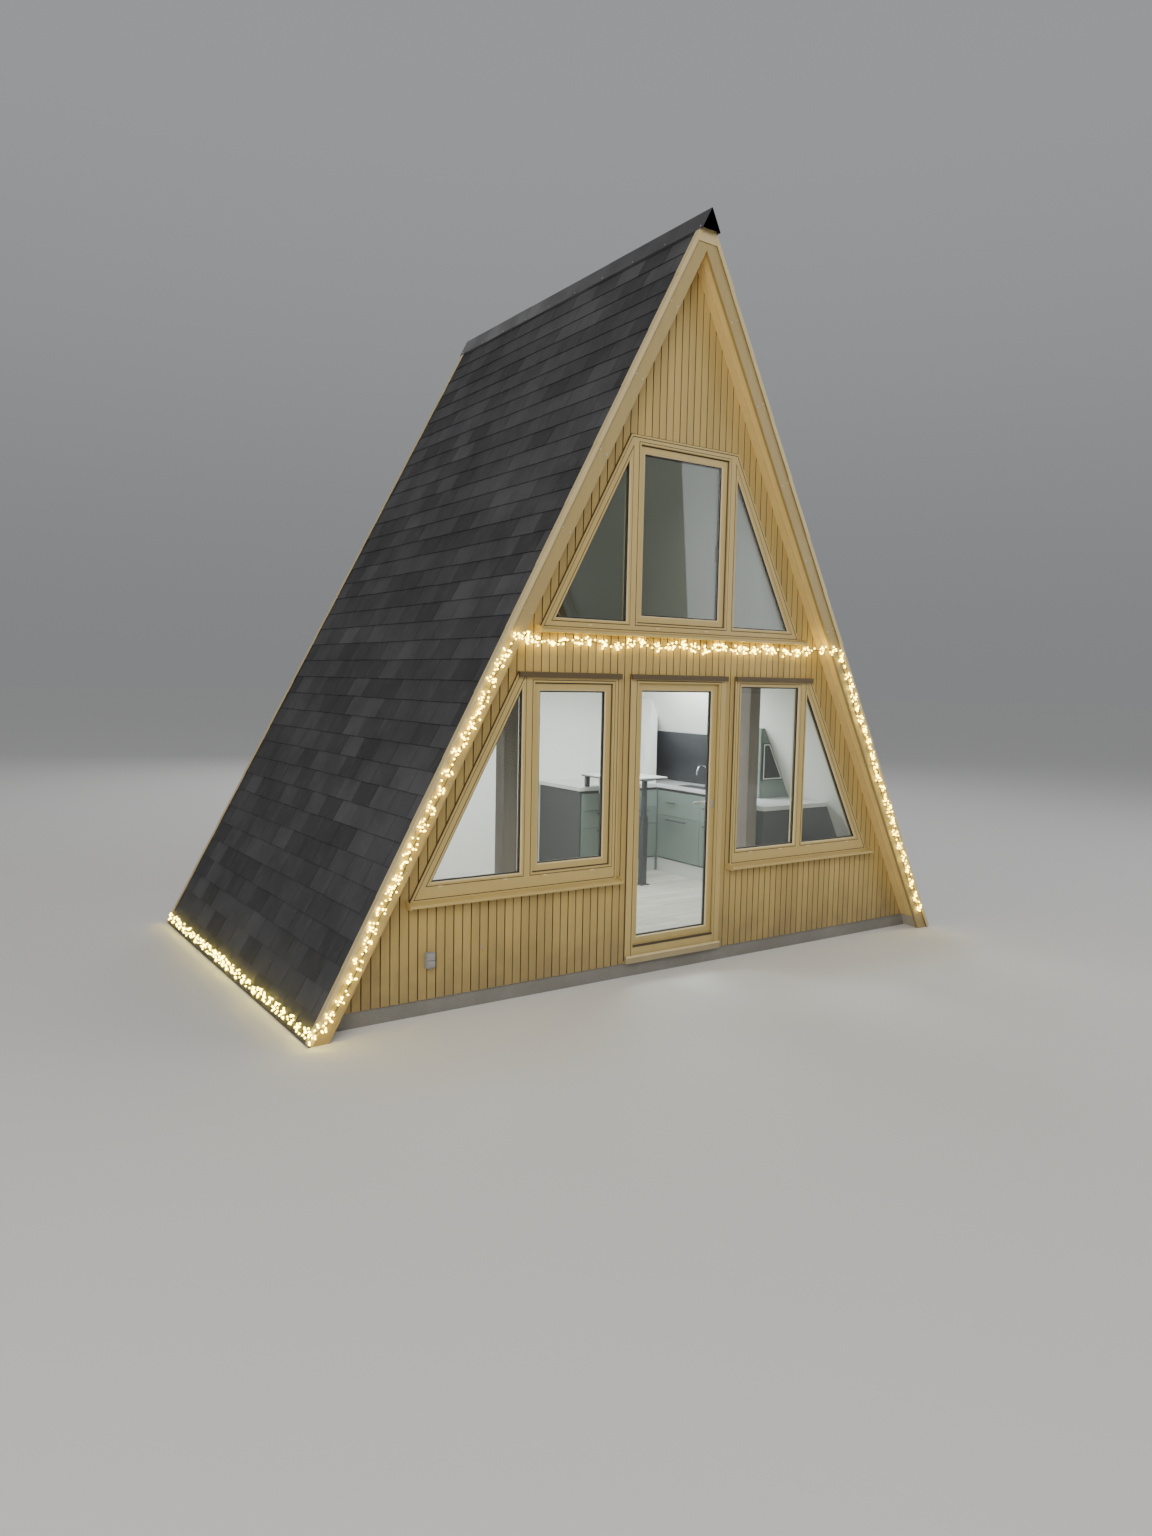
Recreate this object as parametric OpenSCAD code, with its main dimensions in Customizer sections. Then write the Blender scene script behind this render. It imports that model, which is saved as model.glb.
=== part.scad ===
// A-frame cabin: two steep roof planes, timber gables with trapezoid windows, a glazed door.
// Millimetres. +X runs along the front, +Y into the building, +Z up. The origin is on the ground,
// in the middle of the footprint. The ground at the door lies one plinth height above it.

/* [Roof] */
// Height of the outer roof line above the ground
ridge_h = 5624; // [5000:10:6200]
// Half width of the roof at the ground
eave_half_w = 2992; // [2700:4:3300]
// Thickness of the roof covering
cover_t = 20; // [12:1:30]
// Thickness of the roof slab under the covering
slab_t = 90; // [70:5:120]
// Thickness of the insulated inner lining
lining_t = 110; // [80:5:140]
// How far the roof runs past each gable
overhang = 165; // [120:5:220]
// Height of the barge boards, square to the slope
barge_h = 110; // [95:5:140]
// Thickness of the barge boards
barge_t = 25; // [18:1:35]
// How far the covering runs past the barge boards
verge_lip = 12; // [5:1:18]
// Width of each wing of the ridge cap
cap_w = 160; // [100:10:240]
// Thickness of the ridge cap
cap_t = 6; // [3:1:10]
// How far the ridge cap runs past the barge boards
cap_reach = 45; // [30:5:60]

/* [Building] */
// Depth of the building between the outer faces of its gables
house_d = 3240; // [3000:20:3600]
// Height of the base slab, from the ground to the patio outside the door
plinth_h = 110; // [90:5:130]
// How far the base slab stands back from the siding
plinth_setback = 12; // [0:1:30]
// Thickness of the siding boards
siding_t = 20; // [14:1:28]
// Thickness of the wall behind the siding
wall_t = 120; // [90:5:150]
// Thickness of the ground floor
floor_t = 120; // [110:2:130]
// Height of the underside of the loft floor
loft_z = 2330; // [2310:5:2380]
// Thickness of the loft floor
loft_t = 170; // [120:5:190]
// Width of the square posts
post_w = 120; // [110:2:130]
// Distance of the posts from the middle
post_x = 1232; // [1216:4:1248]
// Distance of the posts' middle from the front wall
post_gap = 347; // [335:1:360]

/* [Windows] */
// Height of the heads of the door and the lower windows
head_z = 2275; // [2260:5:2290]
// Height of the bottom of the lower windows
low_sill_z = 770; // [740:5:800]
// Distance from the middle to the lower windows
low_in_x = 576; // [560:2:620]
// Distance from the middle to the mullion of a lower window
low_mullion_x = 1312; // [1250:4:1340]
// Height of the bottom rail of a lower window
low_rail = 115; // [90:5:130]
// Height of the bottom of the upper windows
high_sill_z = 2590; // [2570:5:2620]
// Height of the head of the upper windows
high_head_z = 4003; // [3900:5:4100]
// Distance from the middle to the mullions of an upper window
high_mullion_x = 436; // [400:4:460]
// Depth of the slanted window edges under the outer roof line
slant_t = 300; // [290:2:330]
// Visible width of the upright and level frame members
frame_w = 60; // [50:2:70]
// Visible width of the slanted frame members
slant_w = 70; // [60:2:80]
// Width of the mullions
mullion_w = 84; // [76:2:96]
// Depth of the frames
frame_d = 70; // [66:1:80]
// How far the frames stand proud of the siding
frame_proud = 12; // [6:1:18]
// Thickness of the sealed glass units
glass_t = 24; // [20:1:26]
// Depth of the front lip that holds the glass
lip_d = 18; // [12:1:20]
// How far the glass reaches into its groove
groove_w = 14; // [10:1:18]
// Visible width of a sash
sash_w = 50; // [42:2:58]
// How far the window sills stand out from the siding
sill_reach = 75; // [50:5:90]
// Thickness of the window sills
sill_t = 28; // [20:1:34]
// Height of the drip strips over the heads
drip_h = 14; // [10:1:20]
// How far the drip strips hang down in front of the heads
drip_drop = 26; // [20:1:32]
// How far the drip strips stand out from the siding
drip_reach = 35; // [24:1:50]

/* [Door] */
// Half width of the door frame
door_half_w = 473; // [460:1:490]
// Visible width of the door frame's jambs
jamb_w = 70; // [60:1:80]
// Visible width of the door frame's head
door_head_w = 52; // [46:1:60]
// Thickness of the threshold over the patio
threshold_h = 55; // [45:1:60]
// Thickness of the door leaf
leaf_t = 56; // [50:1:60]
// Width of the leaf that the frame's lip covers
leaf_lap = 8; // [6:1:10]
// Gap all round between the leaf and its frame
leaf_gap = 8; // [7:1:10]
// Visible width of the leaf's stiles and rails
leaf_w = 48; // [42:1:60]
// Height of the handle above the floor
handle_h = 1050; // [950:10:1100]

/* [Kitchen] */
// Height of the worktop above the floor
worktop_h = 930; // [880:5:960]
// Thickness of the worktop
worktop_t = 40; // [28:1:50]
// Depth of the side units on the worktop, out from the sloping lining
side_unit_d = 376; // [340:4:420]
// Depth of the back units
back_unit_d = 745; // [700:5:780]
// Distance from the middle to the end of the back units
back_end_x = 760; // [740:5:780]
// Distance from the front wall to the window units
window_unit_gap = 260; // [240:5:300]
// Depth of the window units
window_unit_d = 550; // [530:5:600]
// Gap between a post and the worktop beside it
post_clear = 20; // [15:1:30]
// Thickness of the dark end panels
panel_t = 18; // [12:1:24]
// Depth of the tall cupboard at its top, out from the sloping lining
cupboard_top_d = 25; // [15:1:60]
// Depth of the tall cupboard along the wall
cupboard_d = 660; // [600:10:700]
// Height of the splashback above the worktop
splash_h = 550; // [450:10:600]
// Height of the bar top above the floor
bar_h = 1065; // [1040:5:1090]
// Thickness of the bar top
bar_t = 24; // [18:1:30]
// Length of the bar top
bar_l = 596; // [560:4:640]

/* [Hidden] */
$fn = 48;

slope = atan(ridge_h / eave_half_w);
shell_t = cover_t + slab_t;
inner_t = shell_t + lining_t;
front_y = -house_d / 2;
wall_in_y = -front_y - siding_t - wall_t;
roof_end_y = -front_y + overhang;
floor_z = plinth_h + floor_t;
far = 2 * ridge_h;
eps = 1;
seat = 0.3;
mitre_gap = 1;
under_shell_t = shell_t + seat;
under_lining_t = inner_t + seat;

// Half width at height z, and height at half width x, of a plane t under the outer roof line
function roof_x(z, t) = eave_half_w - t / sin(slope) - z / tan(slope);
function roof_z(x, t) = (eave_half_w - t / sin(slope) - x) * tan(slope);

function unit(v) = v / norm(v);

// A convex outline, counter-clockwise, with each edge moved in by its own width
function inset(p, widths) = let (n = len(p)) [
    for (i = [0:n - 1])
        let (u = unit(p[i] - p[(i + n - 1) % n]), v = unit(p[(i + 1) % n] - p[i]),
            d = widths[(i + n - 1) % n], e = widths[i], turn = u.x * v.y - u.y * v.x)
        p[i] + (d * v - e * u) / turn
];

// Draws an X-Z outline as a solid that runs back from y0
module plate(y0, depth) {
    translate([0, y0 + depth, 0]) rotate([90, 0, 0]) linear_extrude(depth) children();
}

// Draws the same shape at the left and at the right
module both_sides() {
    children();
    mirror([1, 0, 0]) children();
}

// One half of a roof layer between two depths, above height z0
module roof_layer(z0, t0, t1, x0 = 0) {
    polygon([[roof_x(z0, t1), z0], [roof_x(z0, t0), z0], [x0, roof_z(x0, t0)], [x0, roof_z(x0, t1)]]);
}

// The space between the roof planes from z0 up to z1
module between_roofs(z0, z1, t) {
    polygon([[-roof_x(z0, t), z0], [roof_x(z0, t), z0], [roof_x(z1, t), z1], [-roof_x(z1, t), z1]]);
}

/* Window outlines, the openings inside them, and the profiles of frames and sashes */

low_outline = [[low_in_x, low_sill_z], [roof_x(low_sill_z, slant_t), low_sill_z],
    [roof_x(head_z, slant_t), head_z], [low_in_x, head_z]];
low_widths = [low_rail, slant_w, frame_w, frame_w];
high_outline = [[-roof_x(high_sill_z, slant_t), high_sill_z], [roof_x(high_sill_z, slant_t), high_sill_z],
    [roof_x(high_head_z, slant_t), high_head_z], [-roof_x(high_head_z, slant_t), high_head_z]];
high_widths = [slant_w, slant_w, frame_w, slant_w];
door_outline = [[-door_half_w, plinth_h + threshold_h], [door_half_w, plinth_h + threshold_h],
    [door_half_w, head_z], [-door_half_w, head_z]];
door_rebate = leaf_lap + leaf_gap;
door_widths = [floor_z + door_rebate - plinth_h - threshold_h, jamb_w, door_head_w, jamb_w];
sash_gap = 2;
frame_y = front_y - frame_proud;

// The part of an inset outline between two uprights, grown by a margin
module light(outline, widths, x0, x1, grow) {
    intersection() {
        polygon(inset(outline, [for (w = widths) w - grow]));
        translate([x0 - grow, 0]) square([x1 - x0 + 2 * grow, far]);
    }
}

module low_light_inner(grow) light(low_outline, low_widths, 0, low_mullion_x, grow);
module low_light_outer(grow) light(low_outline, low_widths, low_mullion_x + mullion_w, far, grow);
module high_light_middle(grow) light(high_outline, high_widths, -high_mullion_x, high_mullion_x, grow);
module high_light_side(grow) light(high_outline, high_widths, high_mullion_x + mullion_w, far, grow);
module door_light(grow) light(door_outline, door_widths, -far, far, grow);

module low_frame(has_sash) {
    difference() {
        plate(frame_y, frame_d) polygon(low_outline);
        plate(frame_y - eps, lip_d + eps) low_light_inner(0);
        plate(frame_y - eps, frame_d + 2 * eps) low_light_outer(0);
        plate(frame_y + lip_d, glass_t + eps) low_light_outer(groove_w);
        if (has_sash) {
            plate(frame_y + lip_d - eps / 2, frame_d) low_light_inner(groove_w);
        } else {
            plate(frame_y, frame_d + eps) low_light_inner(0);
            plate(frame_y + lip_d, glass_t + eps) low_light_inner(groove_w);
        }
    }
}

module high_frame() {
    difference() {
        plate(frame_y, frame_d) polygon(high_outline);
        plate(frame_y - eps, lip_d + 2 * eps) high_light_middle(0);
        plate(frame_y + lip_d, frame_d) high_light_middle(groove_w);
        both_sides() plate(frame_y - eps, frame_d + 2 * eps) high_light_side(0);
        both_sides() plate(frame_y + lip_d, glass_t + eps) high_light_side(groove_w);
    }
}

// A ring with a glass groove; children 0 to 2 are its outline, its light and its groove
module sash_ring(y0, depth) {
    front = (depth - glass_t - eps) / 2;
    difference() {
        plate(y0, depth) children(0);
        plate(y0 - eps, depth + 2 * eps) children(1);
        plate(y0 + front, glass_t + eps) children(2);
    }
}

sash_y = frame_y + lip_d + seat;
sash_d = frame_d - lip_d - seat;
sash_glass_y = sash_y + (sash_d - glass_t) / 2;
fixed_glass_y = frame_y + lip_d + seat;

module low_sash() {
    sash_ring(sash_y, sash_d) {
        low_light_inner(groove_w - sash_gap);
        low_light_inner(-sash_w);
        low_light_inner(groove_w - sash_w);
    }
}

module high_sash() {
    sash_ring(sash_y, sash_d) {
        high_light_middle(groove_w - sash_gap);
        high_light_middle(-sash_w);
        high_light_middle(groove_w - sash_w);
    }
}

module high_glass() {
    plate(sash_glass_y, glass_t) high_light_middle(groove_w - sash_gap - sash_w);
    both_sides() plate(fixed_glass_y, glass_t) high_light_side(groove_w - sash_gap);
}

/* Light string: along the left eave, up the left rake, under the upper sill, down the right rake */

string_r = 5;
string_sides = 8;
string_off = seat;
string_lean = unit([0.3, -1, 0.5]);
string_foot_z = 62;
string_start_z = 150;
string_turn_z = high_sill_z - 70;
string_eave_x = roof_x(string_foot_z, -string_r - string_off);
string_eave_y = roof_end_y - 45;
string_rake_y = -roof_end_y - string_r - string_off;
string_edge_y = string_rake_y - verge_lip;
string_wall_y = front_y - string_r - string_off;
string_eave_legs = 6;
string_rake_legs = 9;
string_sill_legs = 10;

string_eave = [for (i = [0:string_eave_legs])
    [-string_eave_x, string_eave_y - i * (string_eave_y - string_rake_y - verge_lip) / string_eave_legs,
        string_foot_z]];
string_foot = [[-string_eave_x + 2, string_edge_y, string_foot_z + 8],
    [-roof_x(string_foot_z + 38, cover_t + string_r + string_off), string_edge_y, string_foot_z + 38],
    [-roof_x(string_foot_z + 58, cover_t + 35), string_rake_y - 4, string_foot_z + 58]];
string_rake = [for (i = [0:string_rake_legs])
    let (z = string_start_z + i * (string_turn_z - string_start_z) / string_rake_legs)
    [roof_x(z, cover_t + (i % 2 == 0 ? 45 : 62)), string_rake_y, z]];
string_turn = [for (p = [[9, string_rake_y - 4, 8], [42, string_rake_y + 52, 4],
        [74, string_wall_y - 42, 0], [112, string_wall_y, -6]])
    [roof_x(string_turn_z + p.z, cover_t + barge_h + p.x), p.y, string_turn_z + p.z]];
string_sag = 28;
string_sill_x = string_turn[len(string_turn) - 1].x * (1 - 2 / (string_sill_legs + 2));
string_sill = [for (i = [0:string_sill_legs])
    [string_sill_x * (2 * i / string_sill_legs - 1), string_wall_y,
        string_turn_z - (i % 2 == 0 ? string_sag : 0)]];

function to_left(p) = [-p.x, p.y, p.z];
function backwards(route) = [for (i = [len(route) - 1:-1:0]) route[i]];

string_route = concat(string_eave, string_foot, [for (p = string_rake) to_left(p)],
    [for (p = string_turn) to_left(p)], string_sill, backwards(string_turn), backwards(string_rake));

function ring(route, i) =
    let (last = len(route) - 1, t = unit(route[min(i + 1, last)] - route[max(i - 1, 0)]),
        s = unit(cross(t, string_lean)), u = cross(s, t))
    [for (k = [0:string_sides - 1])
        let (a = 360 * k / string_sides) route[i] + string_r * (cos(a) * s + sin(a) * u)];

/* Sub-parts */

module base_slab() {
    color("dimgray") plate(front_y + plinth_setback, house_d - 2 * plinth_setback)
        between_roofs(0, plinth_h, under_shell_t);
}

module floor_deck() {
    color("tan") plate(-wall_in_y, 2 * wall_in_y) between_roofs(plinth_h, floor_z, under_lining_t);
}

module loft_floor() {
    color("burlywood") plate(-wall_in_y, 2 * wall_in_y)
        between_roofs(loft_z, loft_z + loft_t, under_lining_t);
}

post_y = -wall_in_y + post_gap;

module posts() {
    color("rosybrown") both_sides() translate([post_x - post_w / 2, post_y - post_w / 2, floor_z])
        cube([post_w, post_w, loft_z - floor_z]);
}

module roof_right() {
    color("sienna") plate(-roof_end_y + barge_t, 2 * (roof_end_y - barge_t))
        roof_layer(0, cover_t, shell_t);
}

module roof_left() mirror([1, 0, 0]) roof_right();

module roofing_right() {
    color("darkslategray") plate(-roof_end_y - verge_lip, 2 * (roof_end_y + verge_lip))
        roof_layer(0, 0, cover_t);
}

module roofing_left() mirror([1, 0, 0]) roofing_right();

module ridge_cap() {
    foot_z = ridge_h - cap_w * sin(slope);
    half = [[0, roof_z(0, 0)], [roof_x(foot_z, 0), foot_z], [roof_x(foot_z, -cap_t), foot_z],
        [0, roof_z(0, -cap_t)]];
    color("gray") plate(-roof_end_y - cap_reach, 2 * (roof_end_y + cap_reach))
        polygon(concat(half, [for (i = [2:-1:1]) [-half[i].x, half[i].y]]));
}

module barge_front() {
    color("goldenrod") both_sides() plate(-roof_end_y, barge_t)
        roof_layer(0, cover_t, cover_t + barge_h, mitre_gap / 2);
}

module barge_back() mirror([0, 1, 0]) barge_front();

module lining_right() {
    color("white") plate(-wall_in_y, 2 * wall_in_y) roof_layer(plinth_h, under_shell_t, inner_t);
}

module lining_left() mirror([1, 0, 0]) lining_right();

// One layer of the gable wall beside the doorway, with its window hole
module wall_side(y0, depth) {
    plate(y0, depth) difference() {
        intersection() {
            between_roofs(plinth_h, head_z, under_shell_t);
            translate([door_half_w, 0]) square([far, far]);
        }
        polygon(low_outline);
        translate([low_in_x, head_z - eps]) square([roof_x(head_z, slant_t) - low_in_x, 2 * eps]);
    }
}

// One layer of the gable wall from height z0 to the ridge, with the upper window hole
module wall_gable(y0, depth, z0) {
    plate(y0, depth) difference() {
        polygon([[-roof_x(z0, under_shell_t), z0], [roof_x(z0, under_shell_t), z0],
            [0, roof_z(0, under_shell_t)]]);
        polygon(high_outline);
    }
}

module front_wall_right() color("whitesmoke") wall_side(front_y + siding_t, wall_t);
module front_wall_left() mirror([1, 0, 0]) front_wall_right();
module siding_right() color("darkkhaki") wall_side(front_y, siding_t);
module siding_left() mirror([1, 0, 0]) siding_right();
module front_wall_gable() color("whitesmoke") wall_gable(front_y + siding_t, wall_t, head_z);
module siding_gable() color("darkkhaki") wall_gable(front_y, siding_t, head_z);
module back_wall() color("whitesmoke") mirror([0, 1, 0]) wall_gable(front_y + siding_t, wall_t, plinth_h);
module siding_back() color("darkkhaki") mirror([0, 1, 0]) wall_gable(front_y, siding_t, plinth_h);

module window_frame_left() color("khaki") mirror([1, 0, 0]) low_frame(true);
module window_frame_right() color("khaki") low_frame(false);
module window_frame_upper() color("khaki") high_frame();
module window_frame_back() color("khaki") mirror([0, 1, 0]) high_frame();
module sash_left() color("khaki") mirror([1, 0, 0]) low_sash();
module sash_upper() color("khaki") high_sash();
module sash_back() color("khaki") mirror([0, 1, 0]) high_sash();

module glass_ground() {
    color("lightblue", 0.4) {
        both_sides() plate(fixed_glass_y, glass_t) low_light_outer(groove_w - sash_gap);
        plate(fixed_glass_y, glass_t) low_light_inner(groove_w - sash_gap);
        mirror([1, 0, 0]) plate(sash_glass_y, glass_t) low_light_inner(groove_w - sash_gap - sash_w);
    }
}

module glass_upper() color("lightblue", 0.4) high_glass();
module glass_back() color("lightblue", 0.4) mirror([0, 1, 0]) high_glass();

// A sill with a sloping top and a nose, from x0 to x1 under height z
module sill(x0, x1, z) {
    fall = sill_t / 3;
    translate([x0, front_y, z]) rotate([90, 0, 90]) linear_extrude(x1 - x0)
        polygon([[0, 0], [-frame_proud, 0], [-sill_reach, -fall], [-sill_reach, -sill_t], [0, -sill_t]]);
}

sill_ear = 22;

module window_sills() {
    high_end_x = roof_x(high_sill_z, slant_t) + sill_ear;
    color("khaki") {
        both_sides() sill(low_in_x - sill_ear, roof_x(low_sill_z, slant_t) + sill_ear, low_sill_z);
        sill(-high_end_x, high_end_x, high_sill_z);
        mirror([0, 1, 0]) sill(-high_end_x, high_end_x, high_sill_z);
    }
}

// A drip strip from x0 to x1 that sits on a frame's head and hangs down in front of it
module drip(x0, x1) {
    fall = drip_h / 4;
    translate([x0, front_y, head_z]) rotate([90, 0, 90]) linear_extrude(x1 - x0)
        polygon([[0, 0], [0, drip_h], [-drip_reach, drip_h - fall], [-drip_reach, -drip_drop],
            [-frame_proud, -drip_drop], [-frame_proud, 0]]);
}

module drip_strips() {
    ear = 4;
    color("saddlebrown") {
        drip(-door_half_w - ear, door_half_w + ear);
        both_sides() drip(low_in_x - ear, roof_x(head_z, slant_t) + ear);
    }
}

module door_frame() {
    color("khaki") difference() {
        plate(frame_y, frame_d) polygon(door_outline);
        plate(frame_y - eps, lip_d + 2 * eps) door_light(0);
        plate(frame_y + lip_d, frame_d) door_light(door_rebate);
    }
}

seal_gap = 5;
leaf_y = frame_y + lip_d + seal_gap;
leaf_in_y = leaf_y + leaf_t;
leaf_edge_x = door_half_w - jamb_w + leaf_lap;
knuckle_r = 9;
knuckle_h = 45;
pin_r = 4;
pin_side = 12;
pin_out = 6;
wing_w = 26;
hinge_x = -leaf_edge_x - pin_side;
hinge_y = leaf_in_y + pin_out;
hinge_inset = 120;
low_hinge_z = floor_z + leaf_gap + hinge_inset;
high_hinge_z = head_z - door_head_w + leaf_lap - hinge_inset - 2 * knuckle_h;
hinge_heights = [low_hinge_z, (low_hinge_z + high_hinge_z) / 2, high_hinge_z];

module door_threshold() {
    nose = 30;
    frame_back = frame_y + frame_d;
    color("slategray") translate([-door_half_w, 0, 0]) rotate([90, 0, 90]) linear_extrude(2 * door_half_w)
        polygon([[front_y - nose, plinth_h], [-wall_in_y, plinth_h], [-wall_in_y, floor_z],
            [frame_back, floor_z], [frame_back, plinth_h + threshold_h],
            [front_y - nose, plinth_h + threshold_h]]);
}

// Frame halves of the hinges: a wing on the frame's inner face, the lower knuckle and the pin
module door_hinges() {
    wing_d = hinge_y - frame_y - frame_d;
    color("silver") for (z = hinge_heights) translate([hinge_x, hinge_y, z]) {
        cylinder(r = knuckle_r, h = knuckle_h);
        cylinder(r = pin_r, h = 2 * knuckle_h);
        translate([-pin_side - wing_w, -wing_d, 0]) cube([wing_w, wing_d, 2 * knuckle_h]);
        translate([-pin_side - wing_w, -wing_d, 0]) cube([pin_side + wing_w, wing_d, knuckle_h]);
    }
}

// Leaf halves: a wing on the leaf's inner face and the upper knuckle, which turns on the pin
module leaf_hinges() {
    color("silver") for (z = hinge_heights) translate([hinge_x, hinge_y, z]) difference() {
        union() {
            translate([0, 0, knuckle_h + seat]) cylinder(r = knuckle_r, h = knuckle_h - seat);
            translate([pin_side, -pin_out, 0]) cube([wing_w, pin_out, 2 * knuckle_h]);
            translate([0, -pin_out, knuckle_h + seat])
                cube([pin_side + wing_w, pin_out, knuckle_h - seat]);
        }
        translate([0, 0, -eps]) cylinder(r = pin_r + seat, h = 2 * knuckle_h + 2 * eps);
    }
}

module door_leaf() {
    color("khaki") sash_ring(leaf_y, leaf_t) {
        door_light(leaf_lap);
        door_light(-leaf_w);
        door_light(groove_w - leaf_w);
    }
}

module door_glass() {
    color("lightblue", 0.4) plate(leaf_y + (leaf_t - glass_t) / 2, glass_t)
        door_light(groove_w - sash_gap - leaf_w);
}

// Inner lever on its long plate, and a plain outer plate
module door_handle() {
    lever_r = 9;
    lever_l = 115;
    stand = 48;
    plate_w = 30;
    plate_h = 210;
    plate_below = 147;
    plate_t = 8;
    outer_h = 70;
    outer_t = 5;
    x = leaf_edge_x - (leaf_lap + leaf_w) / 2;
    color("silver") translate([x, leaf_in_y, floor_z + handle_h]) {
        translate([-plate_w / 2, 0, -plate_below]) cube([plate_w, plate_t, plate_h]);
        rotate([-90, 0, 0]) cylinder(r = lever_r, h = stand);
        translate([0, stand - lever_r, 0]) rotate([0, -90, 0]) cylinder(r = lever_r, h = lever_l);
        translate([-plate_w / 2, -leaf_t - outer_t, -outer_h / 2]) cube([plate_w, outer_t, outer_h]);
    }
}

worktop_z = floor_z + worktop_h;
unit_top = worktop_z - worktop_t;
side_front_x = roof_x(worktop_z, inner_t) - side_unit_d;
window_unit_y = -wall_in_y + window_unit_gap;
side_unit_y = window_unit_y + window_unit_d;
back_unit_y = wall_in_y - back_unit_d;
worktop_over = 20;
window_end_x = post_x + post_w / 2 + post_clear + worktop_over + panel_t;
unit_gap = 1;

// The space from half width x0 to the sloping lining, between two heights
module to_lining(x0, z0, z1) {
    polygon([[x0, z0], [roof_x(z0, under_lining_t), z0], [roof_x(z1, under_lining_t), z1], [x0, z1]]);
}

// Base units in three blocks: under the window, along the side and along the back wall
module kitchen_units() {
    color("slategray") {
        plate(window_unit_y, window_unit_d) to_lining(window_end_x, floor_z, unit_top);
        plate(side_unit_y + unit_gap, wall_in_y - side_unit_y - unit_gap)
            to_lining(side_front_x, floor_z, unit_top);
        translate([back_end_x, back_unit_y, floor_z])
            cube([side_front_x - back_end_x - unit_gap, back_unit_d, unit_top - floor_z]);
    }
}

module kitchen_panels() {
    color("black") {
        plate(window_unit_y - panel_t, panel_t) to_lining(window_end_x - panel_t, floor_z, unit_top);
        translate([window_end_x - panel_t, window_unit_y - eps, floor_z])
            cube([panel_t, window_unit_d + eps, unit_top - floor_z]);
        translate([back_end_x - panel_t, back_unit_y, floor_z])
            cube([panel_t, back_unit_d, unit_top - floor_z]);
    }
}

// Worktop in one U, open towards the middle of the room
module worktop() {
    edge_x = roof_x(worktop_z, under_lining_t);
    near_y = window_unit_y - panel_t - worktop_over;
    window_end = window_end_x - panel_t - worktop_over;
    back_end = back_end_x - panel_t - worktop_over;
    side_end = side_front_x - worktop_over;
    color("gainsboro") translate([0, 0, unit_top]) linear_extrude(worktop_t)
        polygon([[window_end, near_y], [edge_x, near_y], [edge_x, wall_in_y], [back_end, wall_in_y],
            [back_end, back_unit_y - worktop_over], [side_end, back_unit_y - worktop_over],
            [side_end, side_unit_y + worktop_over], [window_end, side_unit_y + worktop_over]]);
}

// A short wall that stands on the back worktop and runs up to the sloping lining
module kitchen_wall() {
    kitchen_wall_t = 88;
    from_side = 10;
    from_front = 25;
    x1 = side_front_x - from_side;
    x0 = x1 - kitchen_wall_t;
    y0 = back_unit_y + from_front;
    color("white") plate(y0, wall_in_y - y0)
        polygon([[x0, worktop_z], [x1, worktop_z], [x1, roof_z(x1, under_lining_t)],
            [x0, roof_z(x0, under_lining_t)]]);
}

cupboard_forward = 110;
cupboard_y = side_unit_y - cupboard_forward;
cupboard_h = (side_unit_d - cupboard_top_d) * tan(slope);

module tall_cupboard() {
    color("slategray") plate(cupboard_y, cupboard_d)
        to_lining(side_front_x, worktop_z, worktop_z + cupboard_h);
}

module splashback() {
    splash_t = 12;
    splash_y = cupboard_y + cupboard_d;
    z0 = worktop_z;
    z1 = worktop_z + splash_h;
    color("dimgray") plate(splash_y, wall_in_y - splash_y)
        polygon([[roof_x(z0, under_lining_t), z0], [roof_x(z1, under_lining_t), z1],
            [roof_x(z1, under_lining_t + splash_t), z1], [roof_x(z0, under_lining_t + splash_t), z0]]);
}

// A swan-neck tap on the side worktop
module tap() {
    neck_r = 9;
    bend_r = 70;
    rise = 160;
    base_r = 24;
    base_h = 40;
    spout_l = 30;
    from_lining = 165;
    from_back_unit = 535;
    color("silver") translate([roof_x(worktop_z, inner_t) - from_lining, back_unit_y - from_back_unit,
            worktop_z]) {
        cylinder(r = base_r, h = base_h);
        cylinder(r = neck_r, h = rise);
        translate([-bend_r, 0, rise]) rotate([90, 0, 0]) rotate_extrude(angle = 180)
            translate([bend_r, 0]) circle(r = neck_r);
        translate([-2 * bend_r, 0, rise - spout_l]) cylinder(r = neck_r, h = spout_l);
    }
}

bar_reach = 595;
bar_inset = 20;
bar_front_y = back_unit_y - bar_reach;
bar_x0 = back_end_x + bar_inset;
bar_under_z = floor_z + bar_h - bar_t;
stub_w = 40;
leg_w = 40;
sleeve_w = 60;
sleeve_h = 680;
leg_from_end = 348;
leg_from_front = 50;
leg_foot_w = 110;
leg_foot_h = 8;

// Bar top on a telescopic leg at the front and two stubs on the back worktop
module bar_table() {
    color("whitesmoke") translate([bar_x0, bar_front_y, bar_under_z])
        cube([bar_l, bar_reach + stub_w, bar_t]);
    color("dimgray") {
        for (x = [bar_x0 + stub_w, bar_x0 + bar_l - 2 * stub_w])
            translate([x, back_unit_y, worktop_z]) cube([stub_w, stub_w, bar_under_z - worktop_z]);
        translate([bar_x0 + leg_from_end, bar_front_y + leg_from_front, floor_z]) {
            bar_leg_length(leg_w, bar_under_z - floor_z);
            bar_leg_length(sleeve_w, sleeve_h);
            bar_leg_length(leg_foot_w, leg_foot_h);
        }
    }
}

// A square length of the bar's leg, from the floor up
module bar_leg_length(w, h) {
    translate([-w / 2, -w / 2, 0]) cube([w, w, h]);
}

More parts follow.
